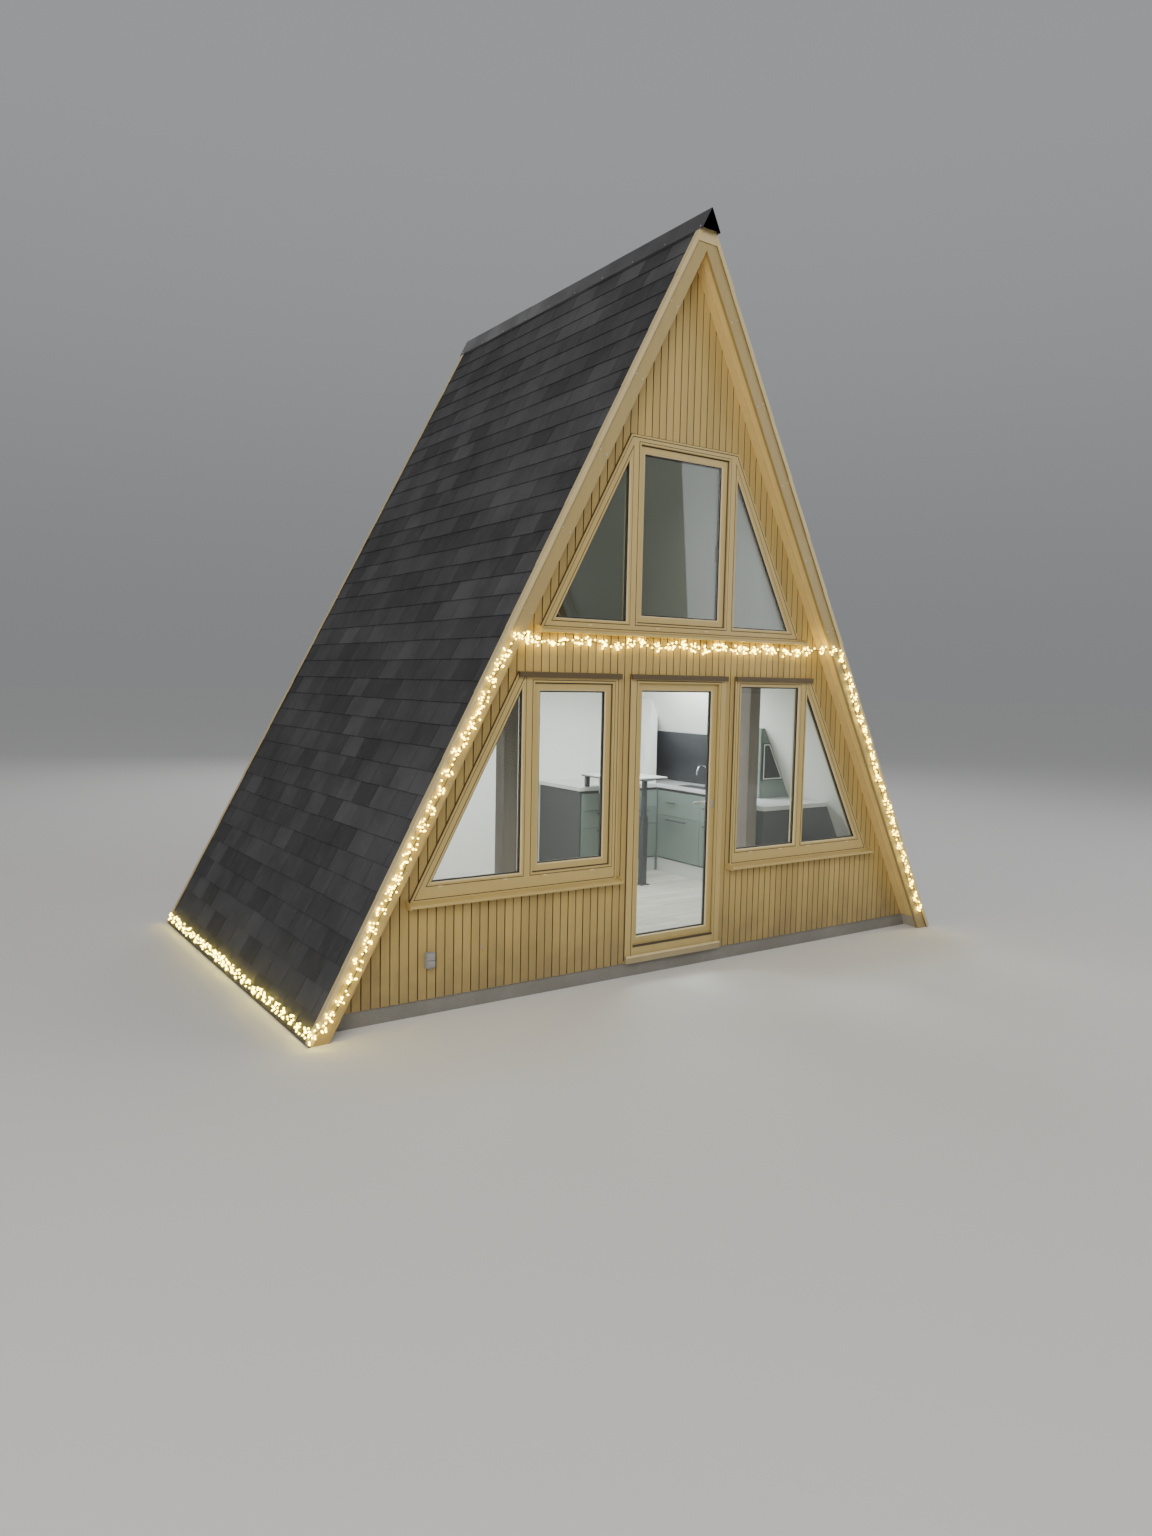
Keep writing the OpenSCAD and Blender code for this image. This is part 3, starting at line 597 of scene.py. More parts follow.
class Palette:
    """The finishes of the cabin."""

    SIDING = Timber("painted_siding", "siding", (0.50, 0.355, 0.115), 0.50, deep=(0.37, 0.25, 0.075),
                    fibres=0.16, tones=0.20, soiled=0.5, worn_and_highlit=0.3, relief=0.0004)
    # A darker copy of the siding paint for the faces inside the joints: painted shade in the grooves.
    SIDING_JOINT_SHADE = Timber("siding_joints", "siding", (0.15, 0.105, 0.038), 0.6, deep=(0.08, 0.055, 0.02),
                    fibres=0.2, soiled=0.5, worn_and_highlit=0.0)
    # Darker than the siding paint: painted shade on the faces of the barge boards.
    TRIM_PAINTED_SHADE = Timber("trim_with_painted_shade", "trim_timber", (0.42, 0.31, 0.12), 0.46, deep=(0.33, 0.235, 0.085),
                  fibres=0.16, soiled=0.35)
    FRAME = Timber("painted_frame", "frame_finish", (0.56, 0.415, 0.155), 0.34, deep=(0.47, 0.34, 0.115),
                   grain=Grain.EVEN, fibres=0.10, soiled=0.25, worn_and_highlit=0.3, relief=0.0002)
    # A lighter copy of the frame paint: painted highlight on beads, weep caps and the threshold's nosing.
    FRAME_HIGHLIGHT = Timber("frame_painted_highlight", "frame_finish", (0.76, 0.61, 0.33), 0.30, deep=(0.66, 0.51, 0.26),
                  grain=Grain.EVEN, fibres=0.06, soiled=0.15, worn_and_highlit=0.2, relief=0.0001)
    # A dark brown that paints the shadow in grooves, gaps and outlines round the frames and the door.
    PAINTED_SHADOW = Moulded("painted_shadow_strips", "frame_finish", (0.060, 0.042, 0.020), 0.6, mottled=0.3)
    # Much lighter than the trim: painted light, as if the string's lamps lit the soffit from below.
    SOFFIT_PAINTED_LIGHT = Timber("soffit_boards", "trim_timber", (0.84, 0.62, 0.24), 0.5, deep=(0.66, 0.47, 0.165),
                    fibres=0.2, soiled=0.2)
    ROOF_TIMBER = Timber("roof_timber", "roof_timber", (0.40, 0.31, 0.20), 0.7, grain=Grain.INWARD)
    FLOOR = Timber("whitewashed_planks", "floor_boards", (0.66, 0.61, 0.55), 0.45, deep=(0.47, 0.41, 0.34),
                   grain=Grain.ACROSS, fibres=0.55, tones=0.24, soiled=0.1, worn_and_highlit=0.2)
    LOFT = Timber("loft_planks", "loft_boards", (0.68, 0.60, 0.48), 0.5, deep=(0.50, 0.41, 0.29),
                  grain=Grain.ACROSS, fibres=0.5, tones=0.2, soiled=0.1, worn_and_highlit=0.2)
    POST = Timber("grey_post", "post_timber", (0.21, 0.175, 0.15), 0.55, deep=(0.14, 0.112, 0.095),
                  fibres=0.6, soiled=0.1)
    WHITE = Timber("white_lining", "white_lining", (0.80, 0.80, 0.80), 0.6, deep=(0.70, 0.70, 0.71),
                   grain=Grain.EVEN, fibres=0.12, soiled=0.08, worn_and_highlit=0.0, relief=0.0002)
    CONCRETE = Mineral("plinth_concrete", "concrete", (0.30, 0.29, 0.27), 0.85, deep=(0.19, 0.18, 0.165))
    SHINGLE = Mineral("shingle_granules", "roofing", (0.062, 0.062, 0.066), 0.86, deep=(0.022, 0.022, 0.025),
                      grit=420.0, pits=0.25, tones=0.75, soiled=0.18, relief=0.0010)
    STONE = Mineral("pale_worktop", "worktop", (0.66, 0.66, 0.65), 0.28, deep=(0.52, 0.52, 0.51),
                    grit=300.0, pits=0.1, soiled=0.0, relief=0.00005)
    RIDGE = Metal("ridge_sheet", "ridge_metal", (0.085, 0.083, 0.085), 0.42, metallic=0.55, dusty=0.35)
    VERGE = Metal("verge_sheet", "trim_timber", (0.62, 0.49, 0.24), 0.36, metallic=0.0)
    # Dark brown: painted shade on the faces of the drip strips over the heads.
    DRIP_PAINTED_SHADE = Metal("drip_sheet_painted_shade", "drip_metal", (0.115, 0.080, 0.038), 0.4, metallic=0.2)
    THRESHOLD = Metal("threshold_sheet", "drip_metal", (0.40, 0.31, 0.15), 0.4, metallic=0.1,
                      brushed=Grain.ACROSS)
    STEEL = Metal("brushed_fittings", "fittings", (0.62, 0.61, 0.59), 0.3, brushed=Grain.ACROSS, dusty=0.1)
    CHROME = Metal("tap_chrome", "tap_chrome", (0.82, 0.82, 0.84), 0.1, clouds=0.03, dusty=0.03)
    RUBBER = Moulded("seal_rubber", "dark_panel", (0.018, 0.018, 0.018), 0.62)
    # Near-black spacers: partly their own colour, partly painted shade at the edge of the glass.
    SPACER = Metal("spacer_bars", "fittings", (0.055, 0.050, 0.045), 0.4, metallic=0.3, dusty=0.0)
    DARK = Moulded("dark_panel", "dark_panel", (0.014, 0.015, 0.016), 0.62)
    SLATE = Moulded("splash_panel", "dark_panel", (0.046, 0.048, 0.054), 0.38, mottled=0.7)
    CUPBOARD = Moulded("cupboard_paint", "cupboard_front", (0.185, 0.225, 0.200), 0.42, tones=0.14)
    PLINTH = Moulded("plinth_board", "cupboard_front", (0.56, 0.56, 0.54), 0.5, tones=0.0)
    BAR_TOP = Timber("bar_top", "bar_finish", (0.60, 0.59, 0.58), 0.38, deep=(0.50, 0.49, 0.47),
                     grain=Grain.ACROSS, fibres=0.25, soiled=0.05, worn_and_highlit=0.2)
    LEG = Metal("leg_steel", "bar_finish", (0.075, 0.078, 0.085), 0.38, metallic=0.5, brushed=Grain.UPRIGHT)
    SOCKET = Moulded("socket_plastic", "socket_plastic", (0.36, 0.36, 0.35), 0.45)
    WHITE_PLASTIC = Moulded("white_plastic", "white_lining", (0.78, 0.78, 0.77), 0.35, mottled=0.1)
    WIRE = Moulded("string_wire", "string_plastic", (0.06, 0.07, 0.045), 0.5)
    LAMP = Glow("warm_lamps", "string_plastic", (1.0, 0.86, 0.13), 0.3)
    GLASS = Glass("clear_glass", "window_glass", (0.93, 0.96, 0.95), 0.0)


# Geometry


class Slope:
    """The outer roof planes, which other depths are counted from."""

    def __init__(self) -> None:
        """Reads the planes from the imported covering."""
        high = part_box("roofing_right")[1]
        self.foot, self.ridge = high.x, high.z
        self.length = math.hypot(self.foot, self.ridge)
        self.tan, self.sin = self.ridge / self.foot, self.ridge / self.length
        self.cos = self.foot / self.length

    def x(self, z: float, depth: float = 0.0) -> float:
        """Returns the half width at height z of the plane that lies so deep under the roof line."""
        return self.foot - depth / self.sin - z / self.tan

    def z(self, x: float, depth: float = 0.0) -> float:
        """Returns the height at half width x of the plane that lies so deep under the roof line."""
        return (self.foot - depth / self.sin - x) * self.tan

    def depth(self, x: float, z: float) -> float:
        """Returns how deep under the roof line a point of the right half lies."""
        return (self.x(z) - x) * self.sin

    def along(self, run: float, depth: float) -> Spot:
        """Returns X and Z at a run up the slope from the foot and a depth under the roof line."""
        return self.foot - run * self.cos - depth * self.sin, run * self.sin - depth * self.cos

    def layer(self, z0: float, outer: float, inner: float, x0: float = 0.0) -> Outline:
        """Returns the outline of one half of a roof layer from height z0 to half width x0."""
        return [(self.x(z0, inner), z0), (self.x(z0, outer), z0), (x0, self.z(x0, outer)),
                (x0, self.z(x0, inner))]


SLOPE = Slope()


def inset(outline: Outline, widths: float | Sequence[float]) -> Outline:
    """Moves each edge of a convex, counter-clockwise outline inwards.

    Args:
        outline: The corners.
        widths: How far each edge moves, or one distance for all.

    Returns:
        The new corners.
    """
    count = len(outline)
    moves = [widths] * count if isinstance(widths, (int, float)) else list(widths)
    points = [Vector(p) for p in outline]
    result = []
    for i, point in enumerate(points):
        before = (point - points[i - 1]).normalized()
        after = (points[(i + 1) % count] - point).normalized()
        turn = before.x * after.y - before.y * after.x
        moved = point + (moves[i - 1] * after - moves[i] * before) / turn
        result.append((moved.x, moved.y))
    return result


def clip(outline: Outline, x0: float, x1: float) -> Outline:
    """Cuts a convex outline off on both sides.

    Args:
        outline: The corners.
        x0: The left limit.
        x1: The right limit.

    Returns:
        The corners of the part between the limits.
    """
    for limit, sign in ((x0, 1.0), (x1, -1.0)):
        kept: Outline = []
        for i, (x, z) in enumerate(outline):
            px, pz = outline[i - 1]
            if (sign * (x - limit) >= 0) != (sign * (px - limit) >= 0):
                kept.append((limit, pz + (z - pz) * (limit - px) / (x - px)))
            if sign * (x - limit) >= 0:
                kept.append((x, z))
        outline = kept
    return outline


def between(low: float, high: float, depth: float) -> Outline:
    """Returns the outline of the space between the roof planes from one height to another."""
    foot, top = SLOPE.x(low, depth), SLOPE.x(high, depth)
    return [(-foot, low), (foot, low), (top, high), (-top, high)]


def divide(start: float, end: float, pitch: float) -> list[Spot]:
    """Splits a length into equal parts.

    Args:
        start: Where it starts.
        end: Where it ends.
        pitch: About how long a part is.

    Returns:
        The two ends of each part.
    """
    count = max(1, round(abs(end - start) / pitch))
    return [(start + (end - start) * i / count, start + (end - start) * (i + 1) / count)
            for i in range(count)]


def arc(count: int) -> list[float]:
    """Returns the angles of half a circle in so many steps."""
    return [math.pi * k / count for k in range(count + 1)]


def own_tone(rng: random.Random) -> float:
    """Draws the tone of one board."""
    return rng.uniform(-0.5, 0.5)


class Shape:
    """Collects the faces of one piece. Each solid in it has a finish and a tone."""

    def __init__(self, side: int = 1, gable: int = 1) -> None:
        """Starts empty.

        Args:
            side: -1 where X is mirrored, otherwise 1.
            gable: -1 where Y is mirrored, otherwise 1.
        """
        self.points: list[Place] = []
        self.faces: list[list[int]] = []
        self.coats: list[int] = []
        self.tones: list[float] = []
        self.mirror = (side, gable)
        self.coat = 0
        self.tone = 0.0

    def ring(self, points: Iterable[Point]) -> list[int]:
        """Adds points.

        Args:
            points: The points in order.

        Returns:
            Their numbers.
        """
        start = len(self.points)
        mx, my = self.mirror
        self.points.extend((mx * p[0], my * p[1], p[2]) for p in points)
        return list(range(start, len(self.points)))

    def face(self, corners: list[int]) -> None:
        """Adds one face with the present finish and tone.

        Args:
            corners: The numbers of its points.
        """
        self.faces.append(corners)
        self.coats.append(self.coat)
        self.tones.append(self.tone)

    def quad(self, points: Sequence[Point]) -> None:
        """Adds one face from its own points."""
        self.face(self.ring(points))

    def skin(self, rings: Sequence[Sequence[Point]], closed: bool = False) -> None:
        """Joins rings of equally many points into one closed solid.

        Args:
            rings: The rings in order.
            closed: True where the last ring meets the first, otherwise both ends get a cap.
        """
        loops = [self.ring(r) for r in rings]
        count = len(loops[0])
        pairs = zip(loops, loops[1:] + loops[:1]) if closed else zip(loops, loops[1:])
        for a, b in pairs:
            for i in range(count):
                j = (i + 1) % count
                self.face([a[i], a[j], b[j], b[i]])
        if not closed:
            self.face(loops[0][::-1])
            self.face(loops[-1])

    def prism(self, outline: Outline, y0: float, y1: float) -> None:
        """Adds an X-Z outline that runs from y0 to y1."""
        self.skin([[(x, y, z) for x, z in outline] for y in (y0, y1)])

    def bar(self, low: Point, high: Point) -> None:
        """Adds a block between two corners."""
        (x0, y0, z0), (x1, y1, z1) = low, high
        self.prism([(x0, z0), (x1, z0), (x1, z1), (x0, z1)], y0, y1)

    def across(self, outline: Outline, x0: float, x1: float) -> None:
        """Adds a Y-Z outline that runs from x0 to x1."""
        self.skin([[(x, y, z) for y, z in outline] for x in (x0, x1)])

    def moulding(self, outline: Outline, profile: Profile) -> None:
        """Runs a profile round an X-Z outline with mitred corners.

        Args:
            outline: The corners of the opening, counter-clockwise.
            profile: Pairs of a distance into the opening and a Y.
        """
        loops = [inset(outline, offset) for offset, _y in profile]
        rings = [[(loop[i][0], y, loop[i][1]) for loop, (_offset, y) in zip(loops, profile)]
                 for i in range(len(outline))]
        self.skin(rings, closed=True)

    @staticmethod
    def hoop(centre: Vector, radius: float, side: Vector, up: Vector, sides: int) -> list[Vector]:
        """Returns the points of a circle in the plane of two unit vectors."""
        angles = [2 * math.pi * k / sides for k in range(sides)]
        return [centre + radius * (math.cos(a) * side + math.sin(a) * up) for a in angles]

    def tube(self, path: Sequence[Point], radius: float, sides: int = 8) -> None:
        """Adds a round bar along a path.

        Args:
            path: The points of its middle line.
            radius: Its radius.
            sides: How many sides a ring has.
        """
        points = [Vector(p) for p in path]
        side = None
        rings = []
        for i, point in enumerate(points):
            ahead = (points[min(i + 1, len(points) - 1)] - points[max(i - 1, 0)]).normalized()
            if side is None:
                side = ahead.orthogonal().normalized()
            side = (side - ahead * side.dot(ahead)).normalized()
            rings.append(self.hoop(point, radius, side, ahead.cross(side), sides))
        self.skin(rings)

    def turned(self, foot: Point, axis: Point, profile: Profile, sides: int = 16) -> None:
        """Adds a turned solid.

        Args:
            foot: The point that heights are counted from.
            axis: The direction of the axis.
            profile: Pairs of a radius and a height.
            sides: How many sides a ring has.
        """
        ahead = Vector(axis).normalized()
        side = ahead.orthogonal().normalized()
        up = ahead.cross(side)
        self.skin([self.hoop(Vector(foot) + h * ahead, r, side, up, sides) for r, h in profile])

    def screw_head(self, spot: Point, axis: Point, radius: float) -> None:
        """Adds a domed screw head on a washer.

        Args:
            spot: Where it sits.
            axis: The direction it stands out in.
            radius: The radius of its dome.
        """
        washer = 1.5 * radius
        profile = [(washer, 0.0), (washer, 0.0008), (radius, 0.001), (0.8 * radius, 0.0024),
                   (0.3 * radius, 0.003)]
        self.turned(spot, axis, profile, 8)

    def make(self, name: str, *finishes: Finish, body: Body = Body.CABIN, replaces: Sequence[str] = (),
             bevel: float = 0.0, weld: bool = False, smooth: bool = False) -> None:
        """Turns the faces into a piece of the scene.

        Args:
            name: The piece's name.
            *finishes: Its finishes, one material each, in the order of the coats.
            body: The body it rides on.
            replaces: The nodes it stands for.
            bevel: Width of a bevel along its edges, or 0.
            weld: Whether points in one place are joined.
            smooth: Whether shallow angles are shaded smooth.
        """
        mesh = bpy.data.meshes.new(name)
        mesh.from_pydata(self.points, [], self.faces)
        for finish in finishes:
            mesh.materials.append(finish.material())
        mesh.polygons.foreach_set("material_index", self.coats)
        mesh.attributes.new("tone", "FLOAT", "FACE").data.foreach_set("value", self.tones)
        work = bmesh.new()
        work.from_mesh(mesh)
        if weld:
            bmesh.ops.remove_doubles(work, verts=work.verts, dist=WELD)
        bmesh.ops.recalc_face_normals(work, faces=work.faces)
        work.to_mesh(mesh)
        work.free()
        if smooth:
            mesh.shade_smooth()
            mesh.set_sharp_from_angle(angle=SMOOTH_ANGLE)
        piece = bpy.data.objects.new(name, mesh)
        bpy.context.scene.collection.objects.link(piece)
        if bevel:
            add_bevel(piece, bevel)
        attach(piece, body.value)
        if replaces:
            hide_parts(*replaces)
        LOG.info("made %s with %d faces", name, len(mesh.polygons))


def add_bevel(piece: bpy.types.Object, width: float) -> None:
    """Rounds the edges of a piece.

    Args:
        piece: The piece.
        width: The width of the bevel.
    """
    bevel = piece.modifiers.new("edges", "BEVEL")
    bevel.width = width
    bevel.segments = 2
    bevel.limit_method = "ANGLE"
    bevel.angle_limit = BEVEL_ANGLE
    bevel.use_clamp_overlap = True


# Sub-assemblies


@dataclass(frozen=True)
class SoftLight:
    """A square soft light that faces a point. Its power is in watts."""

    name: str
    place: Place
    aim: Place
    size: float
    power: float
    tint: Colour

    def build(self) -> None:
        """Adds the light to the scene."""
        data = bpy.data.lights.new(self.name, "AREA")
        data.shape = "SQUARE"
        data.size = self.size
        data.energy = self.power
        data.color = self.tint
        light = bpy.data.objects.new(self.name, data)
        light.location = self.place
        way = Vector(self.aim) - Vector(self.place)
        light.rotation_euler = way.to_track_quat("-Z", "Y").to_euler()
        bpy.context.scene.collection.objects.link(light)


@dataclass
class Studio:
    """The camera, the pale floor, the soft lights and the air, which meets the floor without a line."""

    focal: float = 1005.96
    picture: tuple[int, int] = (1152, 1536)
    sensor: float = 36.0
    place: Place = (-5.03, -7.51, 2.24)
    yaw: float = 34.7355
    pitch: float = 5.0326
    roll: float = 1.1602
    floor_half: float = 150.0
    floor_colour: Colour = (0.70, 0.69, 0.67)
    floor_roughness: float = 0.9
    air: float = 0.42
    air_colour: Colour = (0.80, 0.82, 0.85)
    horizon: float = 0.69
    lights: tuple[SoftLight, ...] = (
        SoftLight("key_light", (-9.5, -12.0, 9.5), (0.0, 0.0, 2.2), 9.0, 1500.0, (1.0, 0.97, 0.92)),
        SoftLight("fill_light", (12.0, -9.0, 7.0), (0.0, 0.0, 2.0), 9.0, 520.0, (0.93, 0.96, 1.0)),
        SoftLight("back_light", (6.0, 13.0, 10.0), (0.0, 0.0, 2.5), 9.0, 700.0, (1.0, 1.0, 1.0)),
        SoftLight("room_light_right", (1.0, -0.1, 2.30), (1.0, -0.1, 0.0), 0.9, 56.0, (0.92, 0.96, 1.0)),
        SoftLight("room_light_left", (-0.8, 0.4, 2.30), (-0.8, 0.4, 0.0), 0.9, 42.0, (0.92, 0.96, 1.0)))

    def build(self) -> None:
        """Sets up camera, floor, lights and background."""
        self.add_camera()
        self.add_floor()
        for light in self.lights:
            light.build()
        self.add_air()

    def add_air(self) -> None:
        """Fills the studio with even light that is as bright at the horizon as the floor is."""
        world = bpy.data.worlds.new("studio_air")
        world.use_nodes = True
        nodes = Nodes(world.node_tree)
        back = world.node_tree.nodes["Background"]
        back.inputs["Color"].default_value = colour(self.air_colour)
        way = nodes.add("ShaderNodeTexCoord").outputs["Generated"]
        bright = nodes.mask(nodes.upward(way), 0.0, 0.5, self.horizon * self.air, self.air)
        world.node_tree.links.new(bright, back.inputs["Strength"])
        bpy.context.scene.world = world

    def add_camera(self) -> None:
        """Puts the camera where the fitted view has it."""
        yaw, pitch, roll = (math.radians(a) for a in (self.yaw, self.pitch, self.roll))
        ahead = Vector((math.sin(yaw) * math.cos(pitch), math.cos(yaw) * math.cos(pitch), -math.sin(pitch)))
        level = Vector((math.cos(yaw), -math.sin(yaw), 0.0))
        over = level.cross(ahead)
        right = math.cos(roll) * level + math.sin(roll) * over
        up = math.cos(roll) * over - math.sin(roll) * level
        data = bpy.data.cameras.new("camera")
        data.sensor_width = self.sensor
        data.lens = self.focal * self.sensor / max(self.picture)
        camera = bpy.data.objects.new("camera", data)
        turn = Matrix((right, up, -ahead)).transposed().to_4x4()
        camera.matrix_world = Matrix.Translation(self.place) @ turn
        bpy.context.scene.collection.objects.link(camera)
        bpy.context.scene.camera = camera

    def add_floor(self) -> None:
        """Adds the plain pale floor."""
        mesh = bpy.data.meshes.new("studio_floor")
        h = self.floor_half
        mesh.from_pydata([(-h, -h, 0), (h, -h, 0), (h, h, 0), (-h, h, 0)], [], [(0, 1, 2, 3)])
        paint = bpy.data.materials.new("studio_floor")
        paint.use_nodes = True
        surface = paint.node_tree.nodes["Principled BSDF"]
        surface.inputs["Base Color"].default_value = colour(self.floor_colour)
        surface.inputs["Roughness"].default_value = self.floor_roughness
        mesh.materials.append(paint)
        floor = bpy.data.objects.new("studio_floor", mesh)
        bpy.context.scene.collection.objects.link(floor)


@dataclass
class Siding:
    """Upright tongued boards on both gables, each with a joint and a mock joint in its middle."""

    pitch: float = 0.066
    joint_depth: float = 0.012
    mock_depth: float = 0.006
    floor_half: float = 0.0030
    wall_half: float = 0.0038
    arris_half: float = 0.0060
    arris_depth: float = 0.0020
    seed: int = 3

    def depth(self, x: float) -> float:
        """Works out how deep the face of the boards lies.

        Args:
            x: The place along the wall.

        Returns:
            The depth behind the boards' flat face.
        """
        index = round(x / self.pitch)
        away = abs(x - index * self.pitch)
        bottom = self.joint_depth if index % 2 else self.mock_depth
        if away <= self.floor_half:
            return bottom
        if away <= self.wall_half:
            part = (away - self.floor_half) / (self.wall_half - self.floor_half)
            return bottom + part * (self.arris_depth - bottom)
        return self.arris_depth * max(0.0, (self.arris_half - away) / (self.arris_half - self.wall_half))

    @staticmethod
    def reach(outline: Outline, x: float) -> Spot | None:
        """Finds how far up and down a convex outline goes.

        Args:
            outline: The corners.
            x: The place along the wall.

        Returns:
            Its lowest and highest Z there, or None beside it.
        """
        found: list[float] = []
        for i, (x1, z1) in enumerate(outline):
            x0, z0 = outline[i - 1]
            if min(x0, x1) - TINY <= x <= max(x0, x1) + TINY:
                part = min(max((x - x0) / (x1 - x0), 0.0), 1.0) if abs(x1 - x0) > TINY else 0.0
                found += [z0, z1] if abs(x1 - x0) <= TINY else [z0 + part * (z1 - z0)]
        return (min(found), max(found)) if found else None

    def spans(self, wall: Outline, hole: Outline | None, middle: float, x: float) -> list[Spot]:
        """Finds which heights of a strip are boarded.

        Args:
            wall: The wall's outline.
            hole: The window's outline, or None.
            middle: The middle of the strip.
            x: The end of the strip that is asked about.

        Returns:
            The lowest and highest Z of each boarded stretch.
        """
        low, high = self.reach(wall, x)
        if hole is None or self.reach(hole, middle) is None:
            return [(low, high)]
        sill, head = self.reach(hole, x)
        return [(low, sill), (head, high)]

    def sheet(self, shape: Shape, wall: Outline, hole: Outline | None, face: float, back: float) -> None:
        """Adds one wall's boards.

        Args:
            shape: The shape they go into.
            wall: The wall's outline.
            hole: The window's outline, or None.
            face: Y of the boards' face.
            back: Y of their back.
        """
        edges = [self.floor_half, self.wall_half, self.arris_half]
        low, high = min(p[0] for p in wall), max(p[0] for p in wall)
        first, last = math.floor(low / self.pitch), math.ceil(high / self.pitch)
        cuts = [p[0] for p in wall + (hole or [])]
        cuts += [i * self.pitch + s * e for i in range(first, last + 1) for e in edges for s in (-1, 1)]
        cuts = sorted(c for c in cuts if low <= c <= high)
        cuts = [c for i, c in enumerate(cuts) if i == 0 or c - cuts[i - 1] > WELD]
        rng = random.Random(self.seed)
        tones = [own_tone(rng) for _ in range(first, last + 2)]
        before: list[Spot] = []
        for a, b in zip(cuts, cuts[1:]):
            middle = (a + b) / 2
            here, there = self.spans(wall, hole, middle, a), self.spans(wall, hole, middle, b)
            shape.tone = tones[math.floor((middle / self.pitch + 1) / 2) - math.floor((first + 1) / 2)]
            # Faces deeper than the arris take the dark joint finish, which paints the shade inside the
            # joints.
            shape.coat = int(self.depth(middle) > self.arris_depth)
            ya, yb = face + self.depth(a), face + self.depth(b)
            self.side(shape, before, here, a, (ya, back))
            for (a0, a1), (b0, b1) in zip(here, there):
                if max(a1 - a0, b1 - b0) < TINY:
                    continue
                shape.quad([(a, ya, a0), (b, yb, b0), (b, yb, b1), (a, ya, a1)])
                shape.quad([(a, back, a0), (a, back, a1), (b, back, b1), (b, back, b0)])
                shape.quad([(a, ya, a1), (b, yb, b1), (b, back, b1), (a, back, a1)])
                shape.quad([(a, ya, a0), (a, back, a0), (b, back, b0), (b, yb, b0)])
            before = there
        self.side(shape, before, [], cuts[-1], (face + self.depth(cuts[-1]), back))

    @staticmethod
    def side(shape: Shape, left: list[Spot], right: list[Spot], x: float, ends: Spot) -> None:
        """Closes the boards wherever only one side of a place is boarded.

        Args:
            shape: The shape they are in.
            left: The boarded heights to its left.
            right: The boarded heights to its right.
            x: The place along the wall.
            ends: Y of the face and of the back there.
        """
        face, back = ends
        levels = sorted({z for span in left + right for z in span})
        for low, high in zip(levels, levels[1:]):
            middle = (low + high) / 2
            in_left = any(z0 < middle < z1 for z0, z1 in left)
            in_right = any(z0 < middle < z1 for z0, z1 in right)
            if in_left != in_right and high - low > TINY:
                shape.quad([(x, face, low), (x, back, low), (x, back, high), (x, face, high)])

    def build(self, windows: "Windows") -> None:
        """Builds the boards of all four walls.

        Args:
            windows: The windows, whose outlines are left open.
        """
        low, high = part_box("siding_right")
        limit = (SLOPE.x(low.z) - high.x) * SLOPE.sin
        wall = [(low.x, low.z), (high.x, low.z), (SLOPE.x(high.z, limit), high.z), (low.x, high.z)]
        for side in Side:
            name = side.name.lower()
            self.wall(name, f"siding_{name}", Shape(side, 1), wall, windows.low_outline)
        for gable, node in ((Gable.FRONT, "siding_gable"), (Gable.BACK, "siding_back")):
            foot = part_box(node)[0].z
            half = SLOPE.x(foot, limit)
            wall = [(-half, foot), (half, foot), (0.0, SLOPE.z(0.0, limit))]
            self.wall(f"gable_{gable.name.lower()}", node, Shape(1, gable), wall, windows.high_outline)

    def wall(self, name: str, node: str, shape: Shape, wall: Outline, hole: Outline) -> None:
        """Makes the piece that stands for one wall's siding.

        Args:
            name: The wall's name.
            node: The node it stands for.
            shape: An empty shape, mirrored as the wall is.
            wall: The wall's outline.
            hole: The window's outline.
        """
        low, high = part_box("siding_right")
        self.sheet(shape, wall, hole, low.y, high.y)
        shape.make(f"boards_{name}", Palette.SIDING, Palette.SIDING_JOINT_SHADE, replaces=[node], weld=True)


